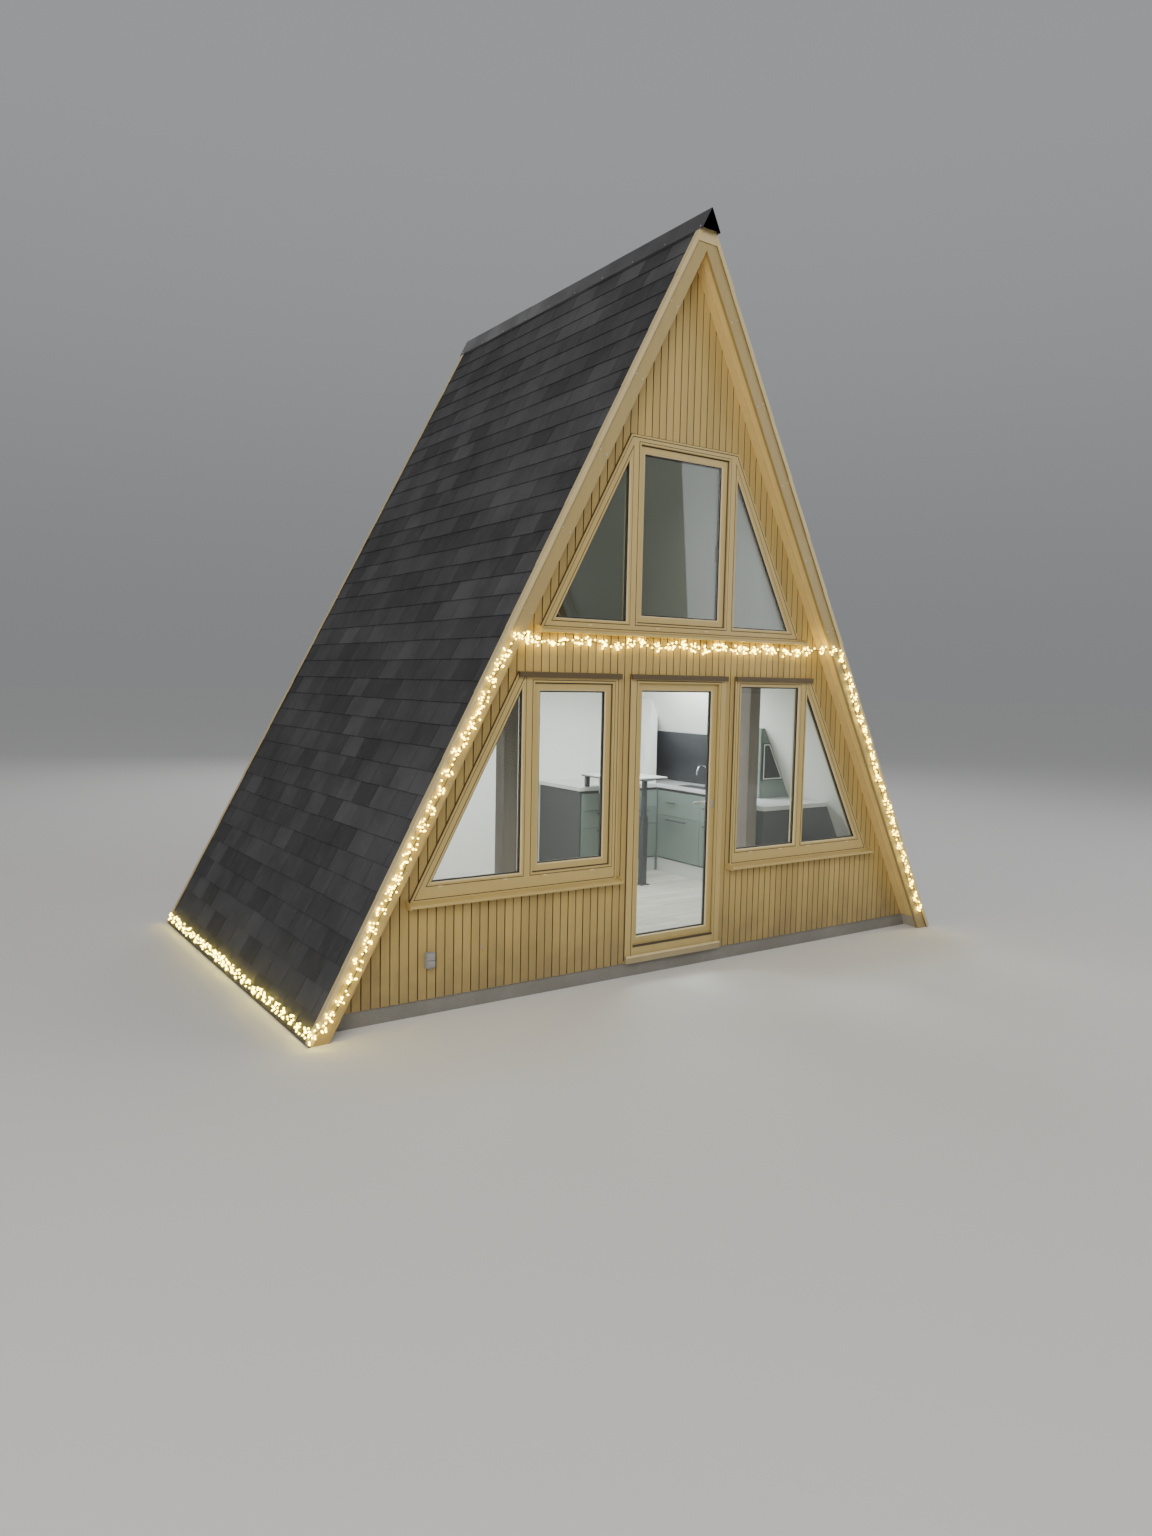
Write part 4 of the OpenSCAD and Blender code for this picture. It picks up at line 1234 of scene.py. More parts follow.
@dataclass
class Roof:
    """Shingles, verge strips, ridge sheets, soffit boards and the fixings of the barge boards."""

    exposure: float = 0.1667
    tab: float = 0.305
    least_tab: float = 0.05
    slot: float = 0.007
    overlap: float = 0.03
    ragged: float = 0.002
    top: float = 0.001
    rise: float = 0.008
    thickness: float = 0.004
    start: float = 0.014
    felt: float = 0.013
    felt_tone: float = -0.2
    side_gap: float = 0.002
    verge_pitch: float = 0.50
    verge_ends: Spot = (0.02, 0.09)
    verge_lap: float = 0.03
    verge_t: float = 0.0015
    verge_lift: float = 0.0025
    verge_leg: float = 0.045
    verge_drop: float = 0.026
    verge_hem: Spot = (0.003, 0.004)
    cap_pitch: float = 1.22
    cap_share: float = 0.97
    cap_out: float = 0.0052
    cap_t: float = 0.002
    cap_lift: float = 0.0008
    cap_lap: float = 0.02
    cap_screw: float = 0.0045
    cap_screw_run: float = 0.028
    cap_screw_end: float = 0.04
    screw_pitch: float = 0.42
    plate_foot: float = 5.395
    plate_head: float = 5.495
    plate_cover: float = 0.016
    plate_t: float = 0.009
    soffit_foot: float = 0.112
    soffit_t: float = 0.010
    soffit_gap: float = 0.005
    barge_screw: float = 0.004
    barge_screw_pitch: float = 0.6
    barge_screw_ends: Spot = (0.25, 0.45)
    barge_screw_rows: Spot = (0.045, 0.108)
    seed: int = 11

    def build(self) -> None:
        """Builds every piece of the roof."""
        self.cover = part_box("roofing_right")
        self.barge_face, self.barge_back = (corner.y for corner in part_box("barge_front"))
        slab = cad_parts["roof_right"]
        corners = [slab.matrix_world @ vertex.co for vertex in slab.data.vertices]
        self.shell = max(SLOPE.depth(corner.x, corner.z) for corner in corners)
        for side in Side:
            self.shingles(side)
        self.verges()
        self.ridge_sheets()
        self.ridge_screws()
        self.ridge_ends()
        for gable in Gable:
            self.soffit(gable)
            self.barge_fixings(gable)

    def tabs(self, row: int, y0: float, y1: float) -> list[Spot]:
        """Divides a course of shingles into tabs; every other course is shifted by half a tab.

        Args:
            row: The number of the course.
            y0: Where the course starts.
            y1: Where it ends.

        Returns:
            The two ends of each tab.
        """
        shift = row % 2
        count = math.ceil((y1 - y0) / self.tab) + 1
        edges = [y0] + [y0 + (i + 0.5 * shift) * self.tab for i in range(1 - shift, count)]
        edges = [e for i, e in enumerate(edges)
                 if e < y1 - self.least_tab and (i == 0 or e > y0 + self.least_tab)] + [y1]
        return list(zip(edges, edges[1:]))

    def shingles(self, side: Side) -> None:
        """Lays one side's shingles in courses, each tab with its own tone.

        Args:
            side: The side.
        """
        rng = random.Random(self.seed + side)
        cover = (SLOPE.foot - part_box("barge_front")[1].x) * SLOPE.sin
        shape = Shape(side, 1)
        y0, y1 = self.cover[0].y + self.side_gap, self.cover[1].y - self.side_gap
        shape.tone = self.felt_tone
        shape.prism(SLOPE.layer(0.0, self.felt, cover), y0, y1)
        top_run, half = SLOPE.length - self.felt * SLOPE.tan, self.slot / 2
        for row in range(math.ceil((top_run - self.start) / self.exposure)):
            low = self.start + row * self.exposure
            high = min(low + self.exposure + self.overlap, top_run)
            tail = self.top + min(1.0, (high - low) / self.exposure) * self.rise
            for a, b in self.tabs(row, y0, y1):
                shape.tone = own_tone(rng)
                foot = low + (rng.uniform(-self.ragged, self.ragged) if row else 0.0)
                section = [SLOPE.along(foot, self.top), SLOPE.along(high, tail),
                           SLOPE.along(high, tail + self.thickness), SLOPE.along(foot, self.top + self.rise)]
                start, end = a + (half if a > y0 else 0), b - (half if b < y1 else 0)
                shape.prism(section, start, end)
        name = side.name.lower()
        shape.make(f"shingles_{name}", Palette.SHINGLE, replaces=[f"roofing_{name}"])

    def verges(self) -> None:
        """Folds lapped metal strips over the verges of both gables."""
        shape = Shape()
        foot, head = self.verge_ends
        for shape.mirror in product(Side, Gable):
            for low, high in divide(foot, SLOPE.length - head, self.verge_pitch):
                shape.skin([self.verge_section(low, self.verge_lift),
                            self.verge_section(high + self.verge_lap, 0.0)])
        shape.make("verge_strips", Palette.VERGE)

    def verge_section(self, run: float, lift: float) -> list[Place]:
        """Folds a verge strip's section, from its leg on the shingles down over the barge board.

        Args:
            run: How far up the slope it is.
            lift: How far the strip is lifted over the next one.

        Returns:
            The section's points.
        """
        edge, sheet, drop = self.cover[1].y, self.verge_t, self.verge_drop
        over, out, leg = -sheet - lift, edge + lift, edge - self.verge_leg
        down, back = self.verge_hem
        section = [(over, leg), (over, out), (drop, out), (drop + down, out - back), (drop, out - sheet),
                   (over + sheet, out - sheet), (over + sheet, leg)]
        spots = [(SLOPE.along(run, depth), -y) for depth, y in section]
        return [(x, y, z) for (x, z), y in spots]

    def ridge_sheets(self) -> None:
        """Folds lapped ridge sheets with hemmed edges."""
        low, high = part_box("ridge_cap")
        shape = Shape()
        foot = SLOPE.ridge - (high.z - low.z) * self.cap_share
        edge, hem, lip, turn, crown = SLOPE.x(foot, 0.0), 0.004, 0.003, 0.002, 0.006
        for i, (y0, y1) in enumerate(divide(low.y, high.y, self.cap_pitch)):
            lift = self.cap_lift if i % 2 == 0 else 0.0
            reach = self.cap_lap if i % 2 == 0 and y1 < high.y else 0.0
            outer = -self.cap_out - lift + self.cap_lift
            inner = outer + self.cap_t
            half = [(0.0, SLOPE.z(0.0, inner)), (SLOPE.x(foot, inner), foot), (edge - hem, foot + hem),
                    (edge, foot - lip), (SLOPE.x(foot, outer), foot - turn),
                    (crown, SLOPE.z(crown, outer)), (0.0, SLOPE.z(crown, outer) + hem)]
            shape.prism(half + [(-x, z) for x, z in half[-2:0:-1]], y0, y1 + reach)
        shape.make("ridge_sheets", Palette.RIDGE, replaces=["ridge_cap"])

    def ridge_screws(self) -> None:
        """Fixes the ridge sheets with a row of screws on each side."""
        low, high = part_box("ridge_cap")
        shape = Shape()
        run = SLOPE.length - (high.z - low.z) / SLOPE.sin + self.cap_screw_run
        x, z = SLOPE.along(run, -self.cap_out)
        for side in Side:
            shape.mirror = (side, 1)
            for ends in divide(low.y + self.cap_screw_end, high.y - self.cap_screw_end, self.screw_pitch):
                for y in ends:
                    shape.screw_head((x, y, z), (SLOPE.sin, 0.0, SLOPE.cos), self.cap_screw)
        shape.make("ridge_screws", Palette.STEEL, smooth=True)

    def ridge_ends(self) -> None:
        """Closes the barge boards' tops with a plate on each gable."""
        shape = Shape()
        for gable in Gable:
            shape.mirror = (1, gable)
            outline = between(self.plate_foot, self.plate_head, self.plate_cover)
            shape.prism(outline, self.barge_face - self.plate_t, self.barge_face)
        shape.make("ridge_end_plates", Palette.VERGE, bevel=0.002)

    def soffit(self, gable: Gable) -> None:
        """Lines the roof slab's overhang at one gable with two boards a side, bright with painted light.

        Args:
            gable: The gable.
        """
        shape = Shape()
        rng = random.Random(self.seed)
        low, high = self.barge_back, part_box("siding_right")[0].y
        width = (high - low - self.soffit_gap) / 2
        outline = SLOPE.layer(self.soffit_foot, self.shell + SEAT, self.shell + self.soffit_t, SEAT)
        for side in Side:
            shape.mirror = (side, gable)
            for y0 in (low, low + width + self.soffit_gap):
                shape.tone = own_tone(rng)
                shape.prism(outline, y0, y0 + width)
        # The bright soffit colour is painted light.
        shape.make(f"soffit_{gable.name.lower()}", Palette.SOFFIT_PAINTED_LIGHT, bevel=0.0015)

    def barge_fixings(self, gable: Gable) -> None:
        """Fixes the barge boards with pairs of screws.

        Args:
            gable: The gable.
        """
        shape = Shape()
        foot, head = self.barge_screw_ends
        for side in Side:
            shape.mirror = (side, gable)
            for low, high in divide(foot, SLOPE.length - head, self.barge_screw_pitch):
                for depth in self.barge_screw_rows:
                    x, z = SLOPE.along((low + high) / 2, depth)
                    shape.screw_head((x, self.barge_face, z), (0.0, -1.0, 0.0), self.barge_screw)
        shape.make(f"barge_screws_{gable.name.lower()}", Palette.STEEL, smooth=True)


@dataclass
class Glazing:
    """Sealed units with spacers, seals on both faces and sloping beads in a paler paint for a painted
    highlight.
    """

    unit: float = 0.024
    pane: float = 0.004
    into_frame: float = 0.012
    bead: float = 0.0085
    bead_flat: float = 0.0035
    bead_top: float = 0.003
    bead_nose: float = 0.004
    sunk: float = 0.0004
    seal: float = 0.0045
    seal_back: float = 0.0035
    seal_nose: float = 0.0018
    seal_lap: float = 0.001
    bar: float = 0.0045
    bar_end: float = 0.001
    bar_gap: float = 0.0002
    panes: Shape = field(default_factory=Shape)
    bars: Shape = field(default_factory=Shape)
    seals: Shape = field(default_factory=Shape)
    beads: Shape = field(default_factory=Shape)

    def mirror(self, side: int, gable: int) -> None:
        """Mirrors what is added next."""
        for shape in (self.panes, self.bars, self.seals, self.beads):
            shape.mirror = (side, gable)

    def glaze(self, opening: Outline, face: float, glass: float, back: float) -> None:
        """Sets one sealed unit into an opening.

        Args:
            opening: The clear outline in the member that holds it.
            face: Y of that member's outer face.
            glass: Y of the unit's outer face.
            back: Y of the member's inner face.
        """
        sheet = inset(opening, -self.into_frame)
        inner = glass + self.unit
        self.panes.prism(sheet, glass, glass + self.pane)
        self.panes.prism(sheet, inner - self.pane, inner)
        y0, y1 = glass + self.pane + self.bar_gap, inner - self.pane - self.bar_gap
        foot, reach = self.bar_end - self.into_frame, self.bead + self.seal + self.bar
        self.bars.moulding(opening, [(foot, y0), (reach, y0), (reach, y1), (foot, y1)])
        low, high = self.bead - self.seal_lap, self.bead + self.seal
        for outside, inside in ((face, glass), (back, inner)):
            way = math.copysign(1.0, inside - outside)
            top = outside + self.bead_top * way
            self.beads.moulding(opening, [(-self.sunk, top), (self.bead_flat, top),
                                          (self.bead, inside - self.bead_nose * way),
                                          (self.bead, inside), (-self.sunk, inside)])
            self.seals.moulding(opening, [(low, inside - self.seal_back * way),
                                          (high, inside - self.seal_nose * way), (high, inside),
                                          (low, inside)])

    def make(self, name: str, node: str, body: Body = Body.CABIN) -> None:
        """Makes the four pieces.

        Args:
            name: What the units belong to.
            node: The glass that the panes stand for.
            body: The body they ride on.
        """
        self.panes.make(f"panes_{name}", Palette.GLASS, body=body, replaces=[node])
        # The spacers' near-black is partly painted shade at the glass's edge.
        self.bars.make(f"spacers_{name}", Palette.SPACER, body=body)
        self.seals.make(f"seals_{name}", Palette.RUBBER, body=body)
        # The beads take the lighter frame paint, a painted highlight along the glass.
        self.beads.make(f"beads_{name}", Palette.FRAME_HIGHLIGHT, body=body)


@dataclass
class Steps:
    """The raised lips that step the faces of frames and sashes, and dark strips of painted shadow beside
    them.
    """

    lip: float = 0.013
    rise: float = 0.0035
    chamfer: float = 0.0015
    groove: float = 0.0055
    shadow_bead: float = 0.007
    shadow_bead_lap: float = 0.0015
    rebate_gap: float = 0.009
    rebate_depth: float = 0.006
    lips: Shape = field(default_factory=Shape)
    dark: Shape = field(default_factory=Shape)

    def mirror(self, side: int, gable: int) -> None:
        """Mirrors what is added next."""
        self.lips.mirror = self.dark.mirror = (side, gable)

    def edge(self, outline: Outline, face: float, way: int) -> None:
        """Runs a raised lip along an outline, and a dark strip of painted shadow behind it.

        Args:
            outline: The edge that the lip follows.
            face: Y of the member's face.
            way: 1 where the member lies inside the outline, -1 where it lies outside.
        """
        top, foot = face - self.rise, face + SEAT
        low, high = self.lip, self.lip + self.groove
        profile = [(0.0, foot), (0.0, top + self.chamfer), (self.chamfer, top),
                   (low - self.chamfer, top), (low, top + self.chamfer), (low, foot)]
        self.lips.moulding(outline, [(way * d, y) for d, y in profile])
        profile = [(low, foot), (low, face - SEAT), (high, face - SEAT), (high, foot)]
        self.dark.moulding(outline, [(way * d, y) for d, y in profile])

    def bed(self, outline: Outline, wall: float) -> None:
        """Runs a dark bead of painted shadow between a frame's outline and the boards.

        Args:
            outline: The frame's outline.
            wall: Y of the boards' face.
        """
        thin, back, front = 0.001, -self.shadow_bead, wall - self.shadow_bead
        self.dark.moulding(outline, [(back, wall + thin), (back, wall - thin),
                                     (-self.shadow_bead_lap, front), (0.0, front), (0.0, wall + thin)])

    def rebate(self, opening: Outline, lip: float) -> None:
        """Runs a dark strip of painted shadow in the gap round a sash, behind the frame's lip.

        Args:
            opening: The clear outline of the frame.
            lip: Y of the back of the frame's lip.
        """
        wide, front, foot = self.rebate_gap, lip - self.rebate_depth, lip + SEAT
        self.dark.moulding(opening, [(-SEAT, front), (3 * SEAT, front), (wide, lip - 0.001),
                                     (wide, foot), (-SEAT, foot)])

    def make(self, name: str) -> None:
        """Makes the two pieces."""
        self.lips.make(f"frame_lips_{name}", Palette.FRAME)
        # The dark strips are painted shadow.
        self.dark.make(f"frame_painted_shadows_{name}", Palette.PAINTED_SHADOW)


def seam(shape: Shape, outer: Point, inner: Point, face: float) -> None:
    """Draws the mitre weld of a frame's corner as a fine raised seam.

    Args:
        shape: The shape it goes into.
        outer: The seam's outer end.
        inner: Its inner end.
        face: Y of the frame's face.
    """
    half, proud, sunk = 0.0009, 0.0004, 0.001
    a, b = Vector(outer), Vector(inner)
    across = (b - a).normalized().orthogonal() * half
    corners = [a - across, b - across, b + across, a + across]
    shape.prism([(p.x, p.y) for p in corners], face - proud, face + sunk)


@dataclass
class Windows:
    """The glazing and small parts of the gable windows."""

    rail: float = 0.115
    slant: float = 0.070
    member: float = 0.060
    mullion: float = 0.084
    sash: float = 0.050
    groove: float = 0.012
    seam_ends: Spot = (0.03, 0.985)
    weeps_left: tuple[float, ...] = (0.794, 1.202, 1.53, 2.027)
    weeps_right: tuple[float, ...] = (0.80, 1.144, 1.483, 1.971)
    weeps_high: tuple[float, ...] = (0.24, 0.86)
    weep_low_z: float = 0.092
    weep_high_z: float = 0.036
    weep_half: float = 0.017
    sill_ear: float = 0.022
    sill_plate: float = 0.005
    sill_up: float = 0.020
    sill_down: float = 0.034
    sill_nose: float = 0.079

    def __post_init__(self) -> None:
        """Reads the outlines and the faces from the frame."""
        low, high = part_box("window_frame_right")
        top = high.x - (high.z - low.z) / SLOPE.tan
        self.low_outline: Outline = [(low.x, low.z), (high.x, low.z), (top, high.z), (low.x, high.z)]
        self.low_widths = [self.rail, self.slant, self.member, self.member]
        self.face, self.back = low.y, high.y
        low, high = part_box("window_frame_upper")
        top = high.x - (high.z - low.z) / SLOPE.tan
        self.high_outline: Outline = [(low.x, low.z), (high.x, low.z), (top, high.z), (-top, high.z)]
        self.high_widths = [self.slant, self.slant, self.member, self.slant]
        self.fixed_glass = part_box("glass_ground")[0].y
        self.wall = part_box("siding_right")[0].y
        sash_low, sash_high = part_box("sash_upper")
        self.low_middle = -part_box("sash_left")[0].x - self.groove
        self.high_middle = sash_high.x - self.groove
        self.sash_face = sash_low.y
        self.sash_glass = (sash_low.y + sash_high.y - Glazing.unit) / 2

    def build(self) -> None:
        """Builds everything on the windows."""
        self.stepping = Steps()
        self.ground_storey()
        self.upper_storey("upper", Gable.FRONT)
        self.upper_storey("rear", Gable.BACK)
        self.stepping.make("windows")
        self.weld_seams()
        self.weep_caps()
        self.sill_ends()
        self.sash_handles()

    def ground_storey(self) -> None:
        """Glazes and steps the two low windows; only the left one has a sash."""
        stepping = self.stepping
        low = inset(self.low_outline, self.low_widths)
        inner = clip(low, 0.0, self.low_middle)
        outer = clip(low, self.low_middle + self.mullion, self.low_outline[1][0])
        glazing = Glazing()
        for side in Side:
            glazing.mirror(side, 1)
            stepping.mirror(side, 1)
            glazing.glaze(outer, self.face, self.fixed_glass, self.back)
            stepping.edge(outer, self.face, -1)
            stepping.edge(inner, self.face, -1)
            stepping.edge(self.low_outline, self.face, 1)
            stepping.bed(self.low_outline, self.wall)
            if side is Side.RIGHT:
                glazing.glaze(inner, self.face, self.fixed_glass, self.back)
            else:
                glazing.glaze(inset(inner, self.sash), self.sash_face, self.sash_glass, self.back)
                stepping.rebate(inner, self.sash_face)
        glazing.make("ground", "glass_ground")

    def upper_storey(self, name: str, gable: Gable) -> None:
        """Glazes and steps one gable's upper window, which has a sash in its middle.

        Args:
            name: The name of its pieces.
            gable: The gable it is in.
        """
        stepping = self.stepping
        high = inset(self.high_outline, self.high_widths)
        middle = clip(high, -self.high_middle, self.high_middle)
        wing = clip(high, self.high_middle + self.mullion, self.high_outline[1][0])
        glazing = Glazing()
        for side in Side:
            glazing.mirror(side, gable)
            stepping.mirror(side, gable)
            glazing.glaze(wing, self.face, self.fixed_glass, self.back)
            stepping.edge(wing, self.face, -1)
        glazing.glaze(inset(middle, self.sash), self.sash_face, self.sash_glass, self.back)
        stepping.edge(middle, self.face, -1)
        stepping.edge(self.high_outline, self.face, 1)
        stepping.bed(self.high_outline, self.wall)
        stepping.rebate(middle, self.sash_face)
        glazing.make(name, "glass_upper" if gable is Gable.FRONT else "glass_back")

    def weld_seams(self) -> None:
        """Draws the mitre welds in the corners of the frames."""
        shape = Shape()
        start, end = self.seam_ends
        frames = [((side, 1), self.low_outline, self.low_widths) for side in Side]
        frames += [((1, gable), self.high_outline, self.high_widths) for gable in Gable]
        for shape.mirror, outline, widths in frames:
            for outer, inner in zip(outline, inset(outline, widths)):
                a, b = Vector(outer), Vector(inner)
                seam(shape, a.lerp(b, start), a.lerp(b, end), self.face)
        shape.make("weld_seams", Palette.FRAME)

    def weep_caps(self) -> None:
        """Puts small hooded caps over the drain slots of the bottom rails, paler for a painted highlight."""
        shape = Shape()
        low_z, high_z = self.low_outline[0][1] + self.weep_low_z, self.high_outline[0][1] + self.weep_high_z
        rows = (Side.LEFT, self.weeps_left), (Side.RIGHT, self.weeps_right)
        spots = [((side, 1), x, low_z) for side, row in rows for x in row]
        spots += [(mirror, x, high_z) for mirror in product(Side, Gable) for x in self.weeps_high]
        for shape.mirror, x, z in spots:
            section = [(self.face, z - 0.005), (self.face - 0.005, z - 0.0045), (self.face - 0.0055, z),
                       (self.face - 0.003, z + 0.0045), (self.face, z + 0.005)]
            shape.across(section, x - self.weep_half, x + self.weep_half)
        # The caps take the lighter frame paint, a painted highlight.
        shape.make("weep_caps", Palette.FRAME_HIGHLIGHT, bevel=0.0012)

    def sill_ends(self) -> None:
        """Closes the ends of the sills with upright plates."""
        shape = Shape()
        wall, nose = self.wall, self.wall - self.sill_nose
        (left, low_z), (right, _z) = self.low_outline[:2]
        half, high_z = self.high_outline[1]
        ends = [((side, 1), x, low_z) for side in Side
                for x in (left - self.sill_ear - self.sill_plate, right + self.sill_ear)]
        ends += [(mirror, half + self.sill_ear, high_z) for mirror in product(Side, Gable)]
        for shape.mirror, x, z in ends:
            foot, head = z - self.sill_down, z + self.sill_up
            section = [(wall, foot), (nose, foot), (nose, z - 0.002), (wall - 0.03, head), (wall, head)]
            shape.across(section, x, x + self.sill_plate)
        shape.make("sill_ends", Palette.FRAME, bevel=0.0012)

    def sash_handles(self) -> None:
        """Puts a plain lever on the inside of each sash."""
        shape = Shape()
        plate, stem, lever = self.back + 0.009, self.back + 0.028, self.back + 0.042
        (low_x, low_z), (high_x, high_z) = self.low_outline[0], (self.high_middle, self.high_outline[0][1])
        low_x, high_x = low_x + self.member + self.sash / 2, high_x - self.sash / 2
        low_z, high_z = (low_z + self.low_outline[2][1]) / 2, (high_z + self.high_outline[2][1]) / 2
        sashes = ((-1, 1), low_x, low_z), ((1, 1), high_x, high_z), ((1, -1), high_x, high_z)
        for shape.mirror, x, z in sashes:
            shape.bar((x - 0.014, self.back, z - 0.033), (x + 0.014, plate, z + 0.033))
            shape.turned((x, plate, z), (0, 1, 0), [(0.011, 0), (0.011, 0.03), (0.009, 0.034)])
            shape.bar((x - 0.009, stem, z - 0.115), (x + 0.009, lever, z + 0.009))
        shape.make("sash_handles", Palette.STEEL, bevel=0.002)


@dataclass
class Door:
    """The glazing, seals and fittings of the door, and the ribs of its threshold.

    The seal's points are distances from the opening and heights. The lever's are distances from the
    spindle, from its outermost plane and down.
    """

    jamb: float = 0.070
    lap: float = 0.008
    leaf_member: float = 0.048
    gap_h: float = 0.020
    seal_back: float = 0.005
    seal: tuple[Spot, ...] = ((0.001, 0.0002), (0.007, 0.0002), (0.0065, 0.0036), (0.004, 0.0044),
                              (0.0015, 0.0036))
    plate_half: float = 0.015
    plate_t: float = 0.008
    rose_half: float = 0.035
    rose_t: float = 0.005
    spindle_z: float = 0.147
    cylinder_z: float = 0.092
    cylinder_r: Spot = (0.0085, 0.007)
    lever_r: float = 0.0088
    lever: tuple[Place, ...] = ((0.0, 0.012, 0.0), (0.004, 0.003, 0.0), (0.013, 0.0, 0.0),
                                (0.06, 0.0, 0.0), (0.105, 0.001, 0.001), (0.113, 0.004, 0.001),
                                (0.115, 0.012, 0.001))
    lever_clear: float = 0.009

    def build(self) -> None:
        """Builds everything on the door and its frame."""
        self.low, self.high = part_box("door_frame")
        self.leaf_low, self.leaf_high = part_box("door_leaf")
        foot, head = self.leaf_low.z + self.lap, self.leaf_high.z - self.lap
        half = self.high.x - self.jamb
        self.light: Outline = [(-half, foot), (half, foot), (half, head), (-half, head)]
        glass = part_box("door_glass")[0].y
        glazing = Glazing()
        glazing.glaze(inset(self.light, self.leaf_member), self.leaf_low.y, glass, self.leaf_high.y)
        glazing.make("door", "door_glass", Body.DOOR)
        self.step_face()
        self.frame_seal()
        self.handle()
        self.threshold()
        self.frame_seams()

    def frame_seal(self) -> None:
        """Runs a soft seal round the frame's rebate, a hair before the leaf."""
        lip = self.leaf_low.y - self.seal_back
        shape = Shape()
        shape.moulding(self.light, [(-out, lip + height) for out, height in self.seal])
        shape.make("door_frame_seal", Palette.RUBBER, smooth=True)

    def handle(self) -> None:
        """Builds the lever, its plates and the lock cylinder."""
        low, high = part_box("door_handle")
        inner, outer = self.leaf_high.y, self.leaf_low.y
        x, z, out = high.x - self.plate_half, low.z + self.spindle_z, high.y - self.lever_clear
        wide, narrow = self.cylinder_r
        shape = Shape()
        self.plate(shape, x, inner, (low.z, high.z), self.plate_t)
        shape.turned((x, inner + 0.006, z), (0, 1, 0), [(0.0135, 0), (0.0135, 0.006), (0.0095, 0.009),
                                                         (0.0095, 0.03)])
        path = [(x, inner + 0.02, z)]
        path += [(x - along, out - back, z - down) for along, back, down in self.lever]
        shape.tube(path, self.lever_r, 14)
        self.plate(shape, x, outer - self.rose_t, (z - self.rose_half, z + self.rose_half), self.rose_t)
        shape.turned((x, inner + 0.007, z - self.cylinder_z), (0, 1, 0),
                     [(wide, 0), (wide, 0.004), (narrow, 0.005)])
        shape.turned((x, outer - 0.004, z), (0, -1, 0), [(wide, 0), (wide, 0.0012), (narrow, 0.0018)])
        shape.make("door_handle_set", Palette.STEEL, body=Body.DOOR, replaces=["door_handle"],
                   bevel=0.0006, smooth=True)

    def plate(self, shape: Shape, x: float, y: float, ends: Spot, depth: float) -> None:
        """Adds a plate with round ends.

        Args:
            shape: The shape it goes into.
            x: Its middle.
            y: Where it starts.
            ends: Its lowest and highest Z.
            depth: How far it stands out.
        """
        (z0, z1), half = ends, self.plate_half
        edge = [(x + half * math.cos(a), z1 - half + half * math.sin(a)) for a in arc(8)]
        edge += [(x - half * math.cos(a), z0 + half - half * math.sin(a)) for a in arc(8)]
        shape.prism(edge, y, y + depth)

    def step_face(self) -> None:
        """Steps the frame's face, and paints the shadow in the gap under the leaf."""
        low, high = self.low, self.high
        half, head = self.light[1][0], self.light[2][1]
        stepping = Steps()
        upright: Outline = [(-half, low.z), (half, low.z), (half, head), (-half, head)]
        stepping.edge(upright, low.y, -1)
        foot = low.z - 0.03
        outer: Outline = [(low.x, foot), (high.x, foot), (high.x, high.z), (low.x, high.z)]
        stepping.bed(outer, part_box("siding_right")[0].y)
        gap = self.light[0][1]
        # A dark strip of painted shadow in the gap under the leaf.
        stepping.dark.bar((-half, low.y - 0.0008, gap - self.gap_h), (half, low.y + 0.001, gap))
        stepping.make("door")

    def threshold(self) -> None:
        """Adds the nosing and the tread ribs of the threshold, paler for a painted highlight on its edge."""
        low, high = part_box("door_threshold")
        shape, top = Shape(), self.low.z
        front, back, lip, rib = low.y - 0.002, low.y + 0.009, top + 0.002, 0.0015
        section = [(front, top - 0.011), (front, top + SEAT), (low.y + 0.001, lip), (back, lip), (back, top)]
        shape.across(section, low.x, high.x)
        for y in (low.y + 0.012, low.y + 0.016):
            shape.bar((low.x + 0.012, y, top - 0.001), (high.x - 0.012, y + rib, top + rib))
        # The nosing and ribs take the lighter frame paint, a painted highlight along the threshold's edge.
        shape.make("threshold_nosing", Palette.FRAME_HIGHLIGHT)

    def frame_seams(self) -> None:
        """Draws the mitre welds of the frame's upper corners."""
        shape = Shape()
        corner = (self.high.x - 0.002, self.high.z - 0.002)
        for side in Side:
            shape.mirror = (side, 1)
            seam(shape, corner, self.light[2], self.low.y)
        shape.make("door_frame_seams", Palette.FRAME)


